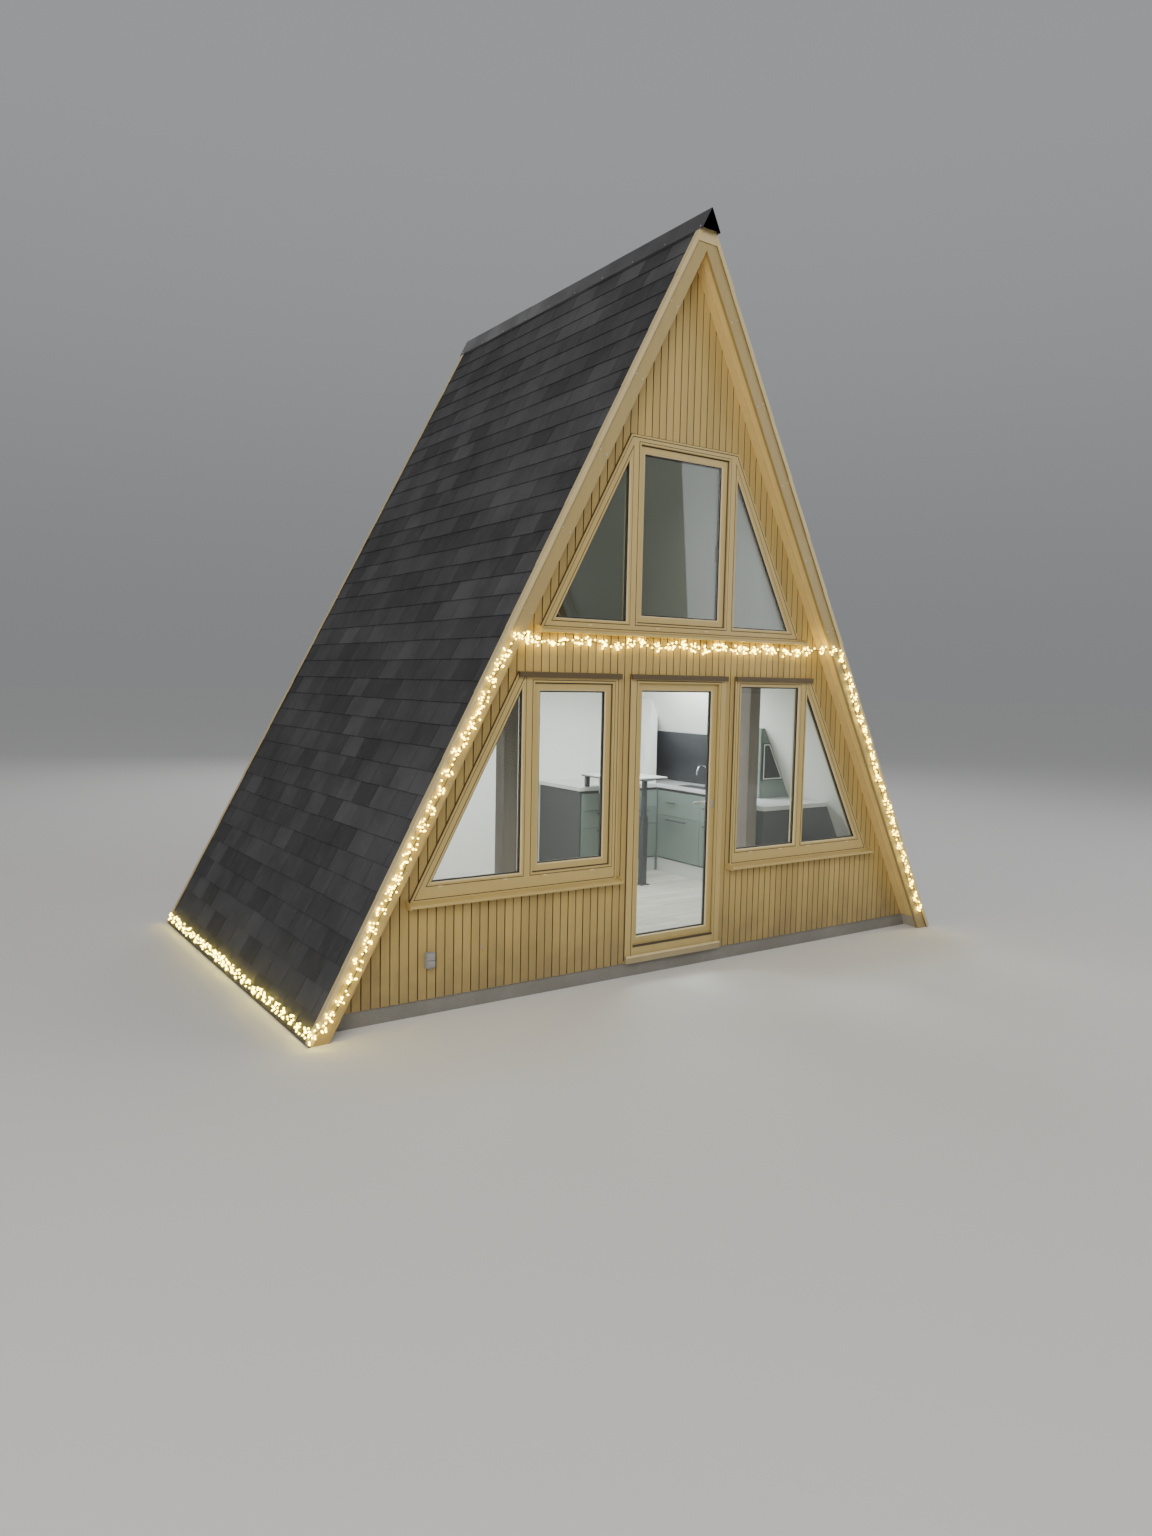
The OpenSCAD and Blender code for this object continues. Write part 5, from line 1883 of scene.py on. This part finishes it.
@dataclass
class Room:
    """Floors and sockets inside, and the socket and hook outside."""

    plank: float = 0.120
    gap: float = 0.003
    plank_t: float = 0.020
    ceiling_t: float = 0.012
    first_plank: Spot = (0.5, 1.8)
    next_plank: Spot = (1.5, 2.1)
    last_plank: float = 0.4
    butt_gap: float = 0.001
    socket_y: float = 0.874
    socket_z: float = 1.511
    socket_half: float = 0.040
    socket_pitch: float = 0.081
    socket_t: float = 0.008
    hook_x: float = -1.70
    hook_z: float = 0.41
    hook_out: float = 0.018
    hook_bend: float = 0.010
    seed: int = 5

    def build(self) -> None:
        """Builds the pieces of the room."""
        low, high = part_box("floor_deck")
        self.depth = (SLOPE.x(low.z) - high.x) * SLOPE.sin
        self.floor("floor_planks", "floor_deck", low.z, [Palette.FLOOR, Palette.ROOF_TIMBER])
        low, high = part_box("loft_floor")
        self.floor("loft_planks", "loft_floor", low.z + self.ceiling_t, [Palette.LOFT, Palette.WHITE])
        ceiling = Shape()
        self.planks(ceiling, low, high, (low.z, low.z + self.ceiling_t - SEAT))
        ceiling.make("loft_ceiling", Palette.WHITE)
        self.sockets()
        self.outdoor_socket()
        self.hook()

    def floor(self, name: str, node: str, foot: float, finishes: Sequence[Finish]) -> None:
        """Builds a floor of planks on a base.

        Args:
            name: The piece's name.
            node: The node it stands for.
            foot: The lowest Z of the base.
            finishes: The finishes of the planks and of the base.
        """
        low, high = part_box(node)
        shape = Shape()
        shape.coat = 1
        shape.prism(between(foot, high.z - self.plank_t, self.depth), low.y, high.y)
        shape.coat = 0
        self.planks(shape, low, high, (high.z - self.plank_t + SEAT, high.z))
        shape.make(name, *finishes, replaces=[node])

    def planks(self, shape: Shape, low: Vector, high: Vector, heights: Spot) -> None:
        """Lays planks along X between the linings, with staggered butt joints.

        Args:
            shape: The shape they go into.
            low: The floor's lowest corner.
            high: Its highest corner.
            heights: Z of their undersides and of their tops.
        """
        rng = random.Random(self.seed)
        z0, z1 = heights
        foot, top = SLOPE.x(z0, self.depth), SLOPE.x(z1, self.depth)
        for y0, y1 in divide(low.y, high.y, self.plank):
            cuts = [-foot]
            x = -foot + rng.uniform(*self.first_plank)
            while x < foot - self.last_plank:
                cuts.append(x)
                x += rng.uniform(*self.next_plank)
            cuts.append(foot)
            for a, b in zip(cuts, cuts[1:]):
                shape.tone = own_tone(rng)
                start, end = a + self.butt_gap, b - self.butt_gap
                left = [(-foot, z0), (-top, z1)] if a == -foot else [(start, z0), (start, z1)]
                right = [(top, z1), (foot, z0)] if b == foot else [(end, z1), (end, z0)]
                shape.prism(left + right, y0 + self.gap / 2, y1 - self.gap / 2)

    def sockets(self) -> None:
        """Puts a double socket on the side of the short wall over the back worktop."""
        shape = Shape()
        wall, y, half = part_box("kitchen_wall")[0].x, self.socket_y, self.socket_half
        face, edge = wall - self.socket_t, half - 0.002
        for z in (self.socket_z - self.socket_pitch / 2, self.socket_z + self.socket_pitch / 2):
            shape.prism([(wall, z - half), (face, z - edge), (face, z + edge), (wall, z + half)],
                        y - half, y + half)
            shape.turned((face + 0.0002, y, z), (-1, 0, 0), [(0.024, 0), (0.024, 0.003), (0.021, 0.003),
                                                             (0.020, 0.001)], 20)
        shape.make("wall_sockets", Palette.WHITE_PLASTIC, bevel=0.0015)

    def outdoor_socket(self) -> None:
        """Builds the splash-proof double socket beside the left window."""
        low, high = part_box("socket_box")
        shape = Shape()
        mid_x, mid_y, mid_z = ((a + b) / 2 for a, b in zip(low, high))
        box, rim, split, end = low.y + 0.012, 0.006, 0.002, 0.012
        shape.bar((low.x, box, low.z), high)
        for z0, z1 in ((low.z + rim, mid_z - split), (mid_z + split, high.z - rim)):
            lid = [(box, z0), (low.y + 0.004, z0 + 0.002), (low.y + 0.001, z1 - 0.012), (low.y + 0.006, z1),
                   (box, z1)]
            shape.across(lid, low.x + rim, high.x - rim)
            pin = [(x, low.y + 0.011, z1 - 0.001) for x in (low.x + end, high.x - end)]
            shape.tube(pin, 0.0025)
        shape.turned((mid_x, mid_y, low.z + 0.001), (0, 0, -1),
                     [(0.011, 0), (0.011, 0.010), (0.009, 0.014), (0.006, 0.016)])
        shape.make("outdoor_socket", Palette.SOCKET, replaces=["socket_box"], bevel=0.002)

    def hook(self) -> None:
        """Screws a small hook into the siding."""
        x, z, bend, wall = self.hook_x, self.hook_z, self.hook_bend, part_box("siding_right")[0].y
        out = wall - self.hook_out
        path = [(x, wall + 0.004, z), (x, out, z)]
        path += [(x, out - bend * math.sin(a), z - bend + bend * math.cos(a)) for a in arc(8)[1:]]
        path += [(x, wall - 0.012, z - 0.021)]
        shape = Shape()
        shape.tube(path, 0.0018)
        shape.turned((x, wall, z), (0, -1, 0), [(0.008, 0), (0.008, 0.001), (0.004, 0.002)], 12)
        shape.make("siding_hook", Palette.STEEL, smooth=True)


class Facing(Enum):
    """Which way a run of cupboard fronts faces: the axis it runs along, and its outward sign."""

    LEFT = ("y", -1)
    FRONT = ("x", -1)
    BACK = ("x", 1)


@dataclass(frozen=True)
class Cupboard:
    """One cupboard of a run: where it ends along the run, the joints of its fronts, and its handles.

    The joints are heights from the top down, and each handle has a height, a start and an end.
    """

    end: float
    joints: tuple[float, ...] = ()
    handles: tuple[Place, ...] = ()


@dataclass(frozen=True)
class Run:
    """Where a run of cupboards stands: which way it faces, where its face lies and where it starts."""

    facing: Facing
    plane: float
    start: float

    def place(self, along: float, out: float) -> Spot:
        """Finds a point on the run.

        Args:
            along: How far along the run it is.
            out: How far out of the fronts' plane it is.

        Returns:
            Its X and Y.
        """
        axis, sign = self.facing.value
        face = self.plane + sign * out
        return (along, face) if axis == "x" else (face, along)

    def panel(self, shape: Shape, span: Spot, heights: Spot, outs: Spot) -> None:
        """Adds a block on the run.

        Args:
            shape: The shape it goes into.
            span: Its ends along the run.
            heights: Its lowest and highest Z.
            outs: How far out its back and its front are.
        """
        (ax, ay), (bx, by) = self.place(span[0], outs[0]), self.place(span[1], outs[1])
        shape.bar((min(ax, bx), min(ay, by), heights[0]), (max(ax, bx), max(ay, by), heights[1]))


@dataclass
class Kitchen:
    """Cupboard fronts, handles, plinths, the tall cupboard's door, the tap, the sink and the bar."""

    front_t: float = 0.018
    gap: float = 0.0035
    plinth: float = 0.155
    plinth_gap: float = 0.014
    plinth_t: float = 0.003
    top_gap: float = 0.030
    handle_r: float = 0.0055
    handle_out: float = 0.028
    stem_in: float = 0.02
    side_run: tuple[Cupboard, ...] = (
        Cupboard(0.045, (0.835,), ((0.975, 0.41, 0.54), (0.795, 0.24, 0.55))),
        Cupboard(-0.55, (0.835,), ((0.975, -0.33, -0.02), (0.795, -0.33, -0.02))),
        Cupboard(-0.646))
    back_run: tuple[Cupboard, ...] = (
        Cupboard(1.28, (0.915, 0.74), ((0.885, 0.93, 1.11), (0.71, 0.93, 1.11))),
        Cupboard(1.726, (0.915, 0.74), ((0.885, 1.42, 1.60), (0.71, 1.42, 1.60))))
    window_run: tuple[Cupboard, ...] = (Cupboard(1.726, (0.835,), ((0.795, 1.45, 1.62),)),)
    pane_z: Spot = (1.33, 1.68)
    pane_t: float = 0.008
    pane_edge: float = 0.004
    rim_in: Spot = (0.010, 0.020)
    rim_t: float = 0.003
    tall_pitch: float = 0.30
    tap_base: float = 0.024
    tap_neck: float = 0.009
    tap_bend: float = 0.070
    tap_reach: float = 0.03
    sink_x: Spot = (0.012, 0.185)
    sink_y: Spot = (-0.03, 0.43)
    sink_corner: float = 0.03
    board: float = 0.024
    board_core: float = 0.010
    leg_x: float = 0.348
    leg_y: float = 0.050
    sleeve_h: float = 0.680
    stub: float = 0.040

    def build(self) -> None:
        """Builds the kitchen."""
        self.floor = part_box("floor_deck")[1].z
        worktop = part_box("worktop")
        self.under, self.top = worktop[0].z, worktop[1].z
        self.side_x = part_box("tall_cupboard")[0].x
        back_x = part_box("bar_table")[0].x - 0.020
        back_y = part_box("kitchen_wall")[0].y - 0.025
        aisle_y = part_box("kitchen_units")[0].y + 0.550
        window_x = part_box("posts")[1].x + 0.058
        self.fronts, self.handles, self.kick, self.shade = Shape(), Shape(), Shape(), Shape()
        self.fit(Run(Facing.LEFT, self.side_x, back_y - 0.024), self.side_run)
        self.fit(Run(Facing.FRONT, back_y, back_x + 0.002), self.back_run)
        self.fit(Run(Facing.BACK, aisle_y, window_x + 0.002), self.window_run)
        self.fronts.make("cupboard_fronts", Palette.CUPBOARD, bevel=0.0015)
        self.handles.make("cupboard_handles", Palette.DARK, smooth=True)
        # The dark strips are painted shade.
        self.shade.make("cupboard_painted_shadows", Palette.DARK)
        self.kick.make("cupboard_plinths", Palette.PLINTH)
        self.tall_door()
        self.tap()
        self.sink()
        self.bar()

    def fit(self, run: Run, cupboards: Sequence[Cupboard]) -> None:
        """Adds the fronts, handles and plinth of one run, and dark strips of painted shade below and above
        the fronts.

        Args:
            run: Where the run stands.
            cupboards: Its cupboards in order.
        """
        low, high = self.floor + self.plinth, self.under - self.top_gap
        whole, kick_top = (run.start, cupboards[-1].end), low - self.plinth_gap
        run.panel(self.kick, whole, (self.floor + 0.001, kick_top), (0.0, self.plinth_t))
        # Dark strips of painted shade: over the plinth and under the worktop.
        run.panel(self.shade, whole, (kick_top, low), (0.0, 0.002))
        run.panel(self.shade, whole, (high + 0.002, self.under - SEAT), (0.0, self.plinth_t))
        start, half = run.start, self.gap / 2
        for cupboard in cupboards:
            span = sorted((start, cupboard.end))
            levels = (high, *cupboard.joints, low)
            for z1, z0 in zip(levels, levels[1:]):
                self.fronts.tone = 0.5 * math.sin(9.0 * (start + z0))
                run.panel(self.fronts, (span[0] + half, span[1] - half), (z0 + half, z1 - half),
                          (0.0015, self.front_t))
            for z, first, last in cupboard.handles:
                self.handle(run, (first, last), z)
            start = cupboard.end

    def handle(self, run: Run, ends: Spot, z: float) -> None:
        """Adds a bar handle on two short stems.

        Args:
            run: The run it is on.
            ends: Its ends along the run.
            z: Its height.
        """
        out = self.front_t + self.handle_out
        self.handles.tube([(*run.place(end, out), z) for end in ends], self.handle_r, 10)
        for end in (ends[0] + self.stem_in, ends[1] - self.stem_in):
            stem = [(*run.place(end, depth), z) for depth in (self.front_t - 0.001, out)]
            self.handles.tube(stem, 0.8 * self.handle_r)

    def tall_door(self) -> None:
        """Sets a dark pane with a pale rim into the end of the tall cupboard, along the slope."""
        low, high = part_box("tall_cupboard")
        lining = (SLOPE.x(low.z) - high.x) * SLOPE.sin
        (foot, head), edge, face = self.pane_z, self.pane_edge, low.y - self.pane_t
        outline = [(low.x + edge, foot), (SLOPE.x(foot, lining) - edge, foot),
                   (SLOPE.x(head, lining) - edge, head), (low.x + edge, head)]
        pane = Shape()
        pane.prism(outline, face, low.y)
        pane.make("cupboard_pane", Palette.DARK, bevel=0.001)
        rim = Shape()
        (near, far), front = self.rim_in, face - self.rim_t
        rim.moulding(outline, [(near, face), (near, front), (far, front), (far, face)])
        rim.make("cupboard_pane_rim", Palette.WHITE_PLASTIC)
        fronts = Shape()
        run = Run(Facing.LEFT, low.x, low.y)
        for y0, y1 in divide(low.y + 0.002, high.y - 0.002, self.tall_pitch):
            run.panel(fronts, (y0 + 0.0015, y1 - 0.0015), (low.z + 0.003, high.z - 0.003),
                      (0.001, self.front_t))
        fronts.make("tall_cupboard_fronts", Palette.CUPBOARD, bevel=0.0015)

    def tap(self) -> None:
        """Builds the swan-neck tap with its collar, aerator and lever."""
        low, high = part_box("tap")
        neck, bend, reach = self.tap_neck, self.tap_bend, self.tap_reach
        x, y, foot = high.x - self.tap_base, (low.y + high.y) / 2, low.z
        crown, spout = high.z - neck - bend, x - 2 * bend
        path = [(x, y, foot + reach), (x, y, crown - reach)]
        path += [(x - bend + bend * math.cos(a), y, crown + bend * math.sin(a)) for a in arc(12)]
        path += [(spout, y, crown - reach)]
        shape = Shape()
        shape.tube(path, neck, 16)
        collar = [(self.tap_base, 0), (self.tap_base, 0.004), (0.020, 0.007), (0.019, 0.036), (0.014, 0.040),
                  (0.0105, 0.046)]
        shape.turned((x, y, foot), (0, 0, 1), collar, 24)
        shape.turned((spout, y, crown - 0.016), (0, 0, -1), [(0.0105, 0), (0.0105, 0.012), (0.0085, 0.014)])
        lever = [(0.018, 0.022), (0.036, 0.026), (0.075, 0.060)]
        shape.tube([(x, y - out, foot + up) for out, up in lever], 0.0042)
        shape.make("swan_neck_tap", Palette.CHROME, replaces=["tap"], smooth=True)

    def sink(self) -> None:
        """Sets a shallow dark sink with a rolled rim into the worktop, under the spout."""
        (x0, x1), (y0, y1), r = (self.side_x + x for x in self.sink_x), self.sink_y, self.sink_corner
        outline: Outline = []
        corners = ((x1 - r, y1 - r), (x0 + r, y1 - r), (x0 + r, y0 + r), (x1 - r, y0 + r))
        for turn, (cx, cy) in enumerate(corners):
            angles = [math.pi / 2 * (turn + k / 4) for k in range(5)]
            outline += [(cx + r * math.cos(a), cy + r * math.sin(a)) for a in angles]
        shape = Shape()
        rim = [(-0.002, 0.0002), (0.0, 0.0045), (0.006, 0.0055), (0.011, 0.004), (0.016, 0.001)]
        shape.skin([[(x, y, self.top + height) for x, y in inset(outline, d)] for d, height in rim])
        drain = [(0.03, 0), (0.03, 0.002), (0.024, 0.0012), (0.008, 0.0012), (0.006, 0.004)]
        shape.turned((x1 - 0.09, (y0 + y1) / 2, self.top + 0.001), (0, 0, 1), drain, 20)
        shape.make("sink", Palette.DARK, smooth=True)

    def bar(self) -> None:
        """Builds the bar top, its stubs and the telescopic leg."""
        low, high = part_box("bar_table")
        under, foot, sleeve = high.z - self.board, self.floor, self.floor + self.sleeve_h
        core = under + self.board_core
        top = Shape()
        top.coat = 1
        top.bar((low.x + 0.001, low.y + 0.001, under), (high.x - 0.001, high.y - 0.001, core))
        top.coat = 0
        top.bar((low.x, low.y, core), high)
        top.make("bar_top", Palette.BAR_TOP, Palette.DARK, replaces=["bar_table"], bevel=0.003)
        legs = Shape()
        x, y, plate, wide = low.x + self.leg_x, low.y + self.leg_y, under - 0.006, 0.030
        for half, z0, z1 in ((0.055, foot, foot + 0.008), (wide, foot, sleeve), (0.020, foot, plate),
                             (0.070, plate, under)):
            legs.bar((x - half, y - half, z0), (x + half, y + half, z1))
        knob = [(0.010, 0), (0.010, 0.010), (0.004, 0.013)]
        legs.turned((x - wide, y, sleeve - 0.03), (-1, 0, 0), knob)
        for left in (low.x + self.stub, high.x - 2 * self.stub):
            legs.bar((left, high.y - self.stub, self.top), (left + self.stub, high.y, under))
        legs.make("bar_legs", Palette.LEG, bevel=0.002)


@dataclass
class LightString:
    """The string of clustered lamps along the left eave, the rakes and the upper sill."""

    cord_r: float = 0.005
    off: float = 0.0003
    wire_r: float = 0.0016
    wire_off: float = 0.0022
    twist: float = 0.045
    pitch: float = 0.010
    bunch_pitch: float = 0.120
    bunch: int = 9
    stray: float = 0.034
    single_pitch: float = 0.045
    single_stray: float = 0.020
    outward: float = 0.024
    along: float = 0.01
    proud: float = 0.022
    sag: float = 0.2
    lamp_r: float = 0.0062
    stub_r: float = 0.0008
    barge: float = 0.110
    eave_z: float = 0.062
    eave_end: float = 0.045
    rake_z: float = 0.150
    rake_weave: Spot = (0.045, 0.062)
    sill_drop: float = 0.070
    sill_weave: Spot = (0.028, 0.0)
    seed: int = 17

    def build(self) -> None:
        """Builds the wires and the lamps."""
        route = self.resampled(self.route(), self.pitch)
        wires, self.lamps, self.stubs = Shape(), Shape(), Shape()
        for phase in (0.0, math.pi):
            path = []
            for i, (point, ahead, out) in enumerate(route):
                a = phase + 2 * math.pi * i * self.pitch / self.twist
                side = ahead.cross(out).normalized()
                path.append(point + self.wire_off * (math.cos(a) * out + math.sin(a) * side))
            wires.tube(path, self.wire_r, 5)
        rng = random.Random(self.seed)
        kinds = ((self.bunch_pitch, self.bunch, self.stray), (self.single_pitch, 1, self.single_stray))
        for every, count, stray in kinds:
            at = 1.0
            while at < len(route) - 1:
                for _ in range(count):
                    drift = rng.gauss(0.0, 0.55) * stray / self.pitch
                    point, ahead, out = route[min(max(round(at + drift), 0), len(route) - 1)]
                    side = ahead.cross(out).normalized()
                    across = rng.uniform(-1.0, 1.0) * stray - self.outward * abs(side.x)
                    offset = side * across + ahead * rng.uniform(-self.along, self.along)
                    offset += out * rng.uniform(0.15, 0.9) * self.proud + Vector((0, 0, -self.sag * stray))
                    self.lamp(point, point + offset)
                at += every / self.pitch * rng.uniform(0.7, 1.3)
        wires.make("string_wires", Palette.WIRE, replaces=["light_string"], smooth=True)
        self.stubs.make("string_stubs", Palette.WIRE)
        self.lamps.make("string_lamps", Palette.LAMP, smooth=True)

    def lamp(self, root: Vector, tip: Vector) -> None:
        """Adds one lamp at the end of its own short wire.

        Args:
            root: Where the wire leaves the string.
            tip: Where the lamp is.
        """
        r = self.lamp_r
        reach = 2.2 * r
        tip = Vector(max(low + reach, min(high - reach, t)) for low, high, t in zip(*CAD_BOX, tip))
        ahead = (tip - root).normalized()
        bulb = [(0.35 * r, 0), (0.85 * r, 0.5 * r), (r, 1.1 * r), (0.8 * r, 1.7 * r), (0.3 * r, 2.1 * r)]
        foot = tip - ahead * r
        self.lamps.turned(foot, ahead, bulb, 7)
        self.stubs.tube([root, root.lerp(tip, 0.5) + Vector((0, 0, 0.002)), foot], self.stub_r, 3)

    def route(self) -> list[tuple[Vector, Vector]]:
        """Finds the string's way over the cabin.

        Returns:
            Its points, each with the direction away from what carries it.
        """
        barge_low, barge_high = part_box("barge_front")
        stand = -self.cord_r - self.off
        lip = barge_low.y + stand
        edge = lip - (barge_low.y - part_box("roofing_right")[0].y)
        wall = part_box("siding_gable")[0].y + stand
        cover = (SLOPE.foot - barge_high.x) * SLOPE.sin
        foot, turn_z = self.eave_z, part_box("window_frame_upper")[0].z - self.sill_drop
        eave_x, rear = SLOPE.x(foot, stand), -barge_low.y - self.eave_end
        away, front, lean = Vector((-SLOPE.sin, 0, SLOPE.cos)), Vector((0, -1, 0)), Vector((-0.6, -0.8, 0))
        eave = [(Vector((-eave_x, rear - i * (rear - lip - 0.012) / 6, foot)), away) for i in range(7)]
        low, middle, high = foot + 0.008, foot + 0.038, foot + 0.058
        eave += [(Vector((-eave_x + 0.002, edge, low)), lean),
                 (Vector((-SLOPE.x(middle, cover - stand), edge, middle)), lean),
                 (Vector((-SLOPE.x(high, cover + 0.035), lip - 0.004, high)), front)]
        heights = [self.rake_z + i * (turn_z - self.rake_z) / 9 for i in range(10)]
        rake = [(Vector((SLOPE.x(z, cover + self.rake_weave[i % 2]), lip, z)), front)
                for i, z in enumerate(heights)]
        bends = ((0.009, lip - 0.004, 0.008), (0.042, lip + 0.052, 0.004), (0.074, wall - 0.042, 0.0),
                 (0.112, wall, -0.006))
        turn = [(Vector((SLOPE.x(turn_z + up, cover + self.barge + depth), y, turn_z + up)), front)
                for depth, y, up in bends]
        reach = turn[-1][0].x * 10 / 12
        sill = [(Vector((reach * (2 * i / 10 - 1), wall, turn_z - self.sill_weave[i % 2])), front)
                for i in range(11)]
        left = [(Vector((-p.x, p.y, p.z)), out) for p, out in rake + turn]
        return eave + left + sill + turn[::-1] + rake[::-1]

    @staticmethod
    def resampled(route: list[tuple[Vector, Vector]], pitch: float) -> list[tuple[Vector, Vector, Vector]]:
        """Spaces points evenly along a smooth curve through the route.

        Args:
            route: Points with their outward directions.
            pitch: The distance between the new points.

        Returns:
            Points with the direction of the run and the outward direction.
        """
        fine: list[tuple[Vector, Vector]] = []
        last = len(route) - 1
        for i in range(last):
            (p1, out), (p2, next_out) = route[i], route[i + 1]
            p0, p3 = route[max(i - 1, 0)][0], route[min(i + 2, last)][0]
            count = max(2, math.ceil((p2 - p1).length / pitch))
            ease = min(1.0, (p2 - p1).length / 0.12)
            for k in range(count):
                t = k / count
                curve = 0.5 * ((2 * p1) + (p2 - p0) * t + (2 * p0 - 5 * p1 + 4 * p2 - p3) * t * t
                               + (3 * p1 - p0 - 3 * p2 + p3) * t * t * t)
                fine.append((p1.lerp(p2, t).lerp(curve, 0.35 * ease), out.lerp(next_out, t)))
        fine.append(route[-1])
        result = []
        for i, (point, out) in enumerate(fine):
            ahead = (fine[min(i + 1, len(fine) - 1)][0] - fine[max(i - 1, 0)][0]).normalized()
            result.append((point, ahead, (out - ahead * out.dot(ahead)).normalized()))
        return result


@dataclass(frozen=True)
class Dressing:
    """A finish and a bevel for nodes whose shape stays."""

    nodes: tuple[str, ...]
    finish: Finish
    bevel: float = 0.0

    def apply(self) -> None:
        """Gives each node its finish and rounds its edges."""
        for name in self.nodes:
            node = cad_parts[name]
            node.data.materials.clear()
            node.data.materials.append(self.finish.material())
            if self.bevel:
                weld = node.modifiers.new("weld", "WELD")
                weld.merge_threshold = WELD
                add_bevel(node, self.bevel)
            LOG.info("dressed %s with %s", name, self.finish.name)


DRESSINGS = (
    Dressing(("base_slab",), Palette.CONCRETE, 0.004),
    Dressing(("posts",), Palette.POST, 0.004),
    Dressing(("roof_left", "roof_right"), Palette.ROOF_TIMBER),
    # The barge boards take the darker trim colour, which paints shade on their faces.
    Dressing(("barge_front", "barge_back"), Palette.TRIM_PAINTED_SHADE, 0.003),
    Dressing(("lining_left", "lining_right", "front_wall_left", "front_wall_right", "front_wall_gable",
              "back_wall", "kitchen_wall"), Palette.WHITE),
    Dressing(("window_frame_left", "window_frame_right", "window_frame_upper", "window_frame_back",
              "sash_left", "sash_upper", "sash_back", "door_frame", "door_leaf"), Palette.FRAME, 0.0022),
    Dressing(("window_sills",), Palette.FRAME, 0.003),
    # The drip strips take a dark brown that paints the shade on their faces.
    Dressing(("drip_strips",), Palette.DRIP_PAINTED_SHADE, 0.001),
    Dressing(("door_threshold",), Palette.THRESHOLD, 0.002),
    Dressing(("door_hinges", "leaf_hinges"), Palette.STEEL, 0.0006),
    Dressing(("kitchen_units", "tall_cupboard"), Palette.CUPBOARD, 0.001),
    Dressing(("kitchen_panels",), Palette.DARK, 0.001),
    Dressing(("splashback",), Palette.SLATE, 0.001),
    Dressing(("worktop",), Palette.STONE, 0.003),
)


def main() -> None:
    """Builds the scene in order."""
    logging.basicConfig(level=logging.INFO, format="%(name)s: %(message)s")
    Studio().build()
    LightString().build()
    for dressing in DRESSINGS:
        dressing.apply()
    windows = Windows()
    Siding().build(windows)
    Roof().build()
    windows.build()
    Door().build()
    Room().build()
    Kitchen().build()


if __name__ == "__main__":
    main()
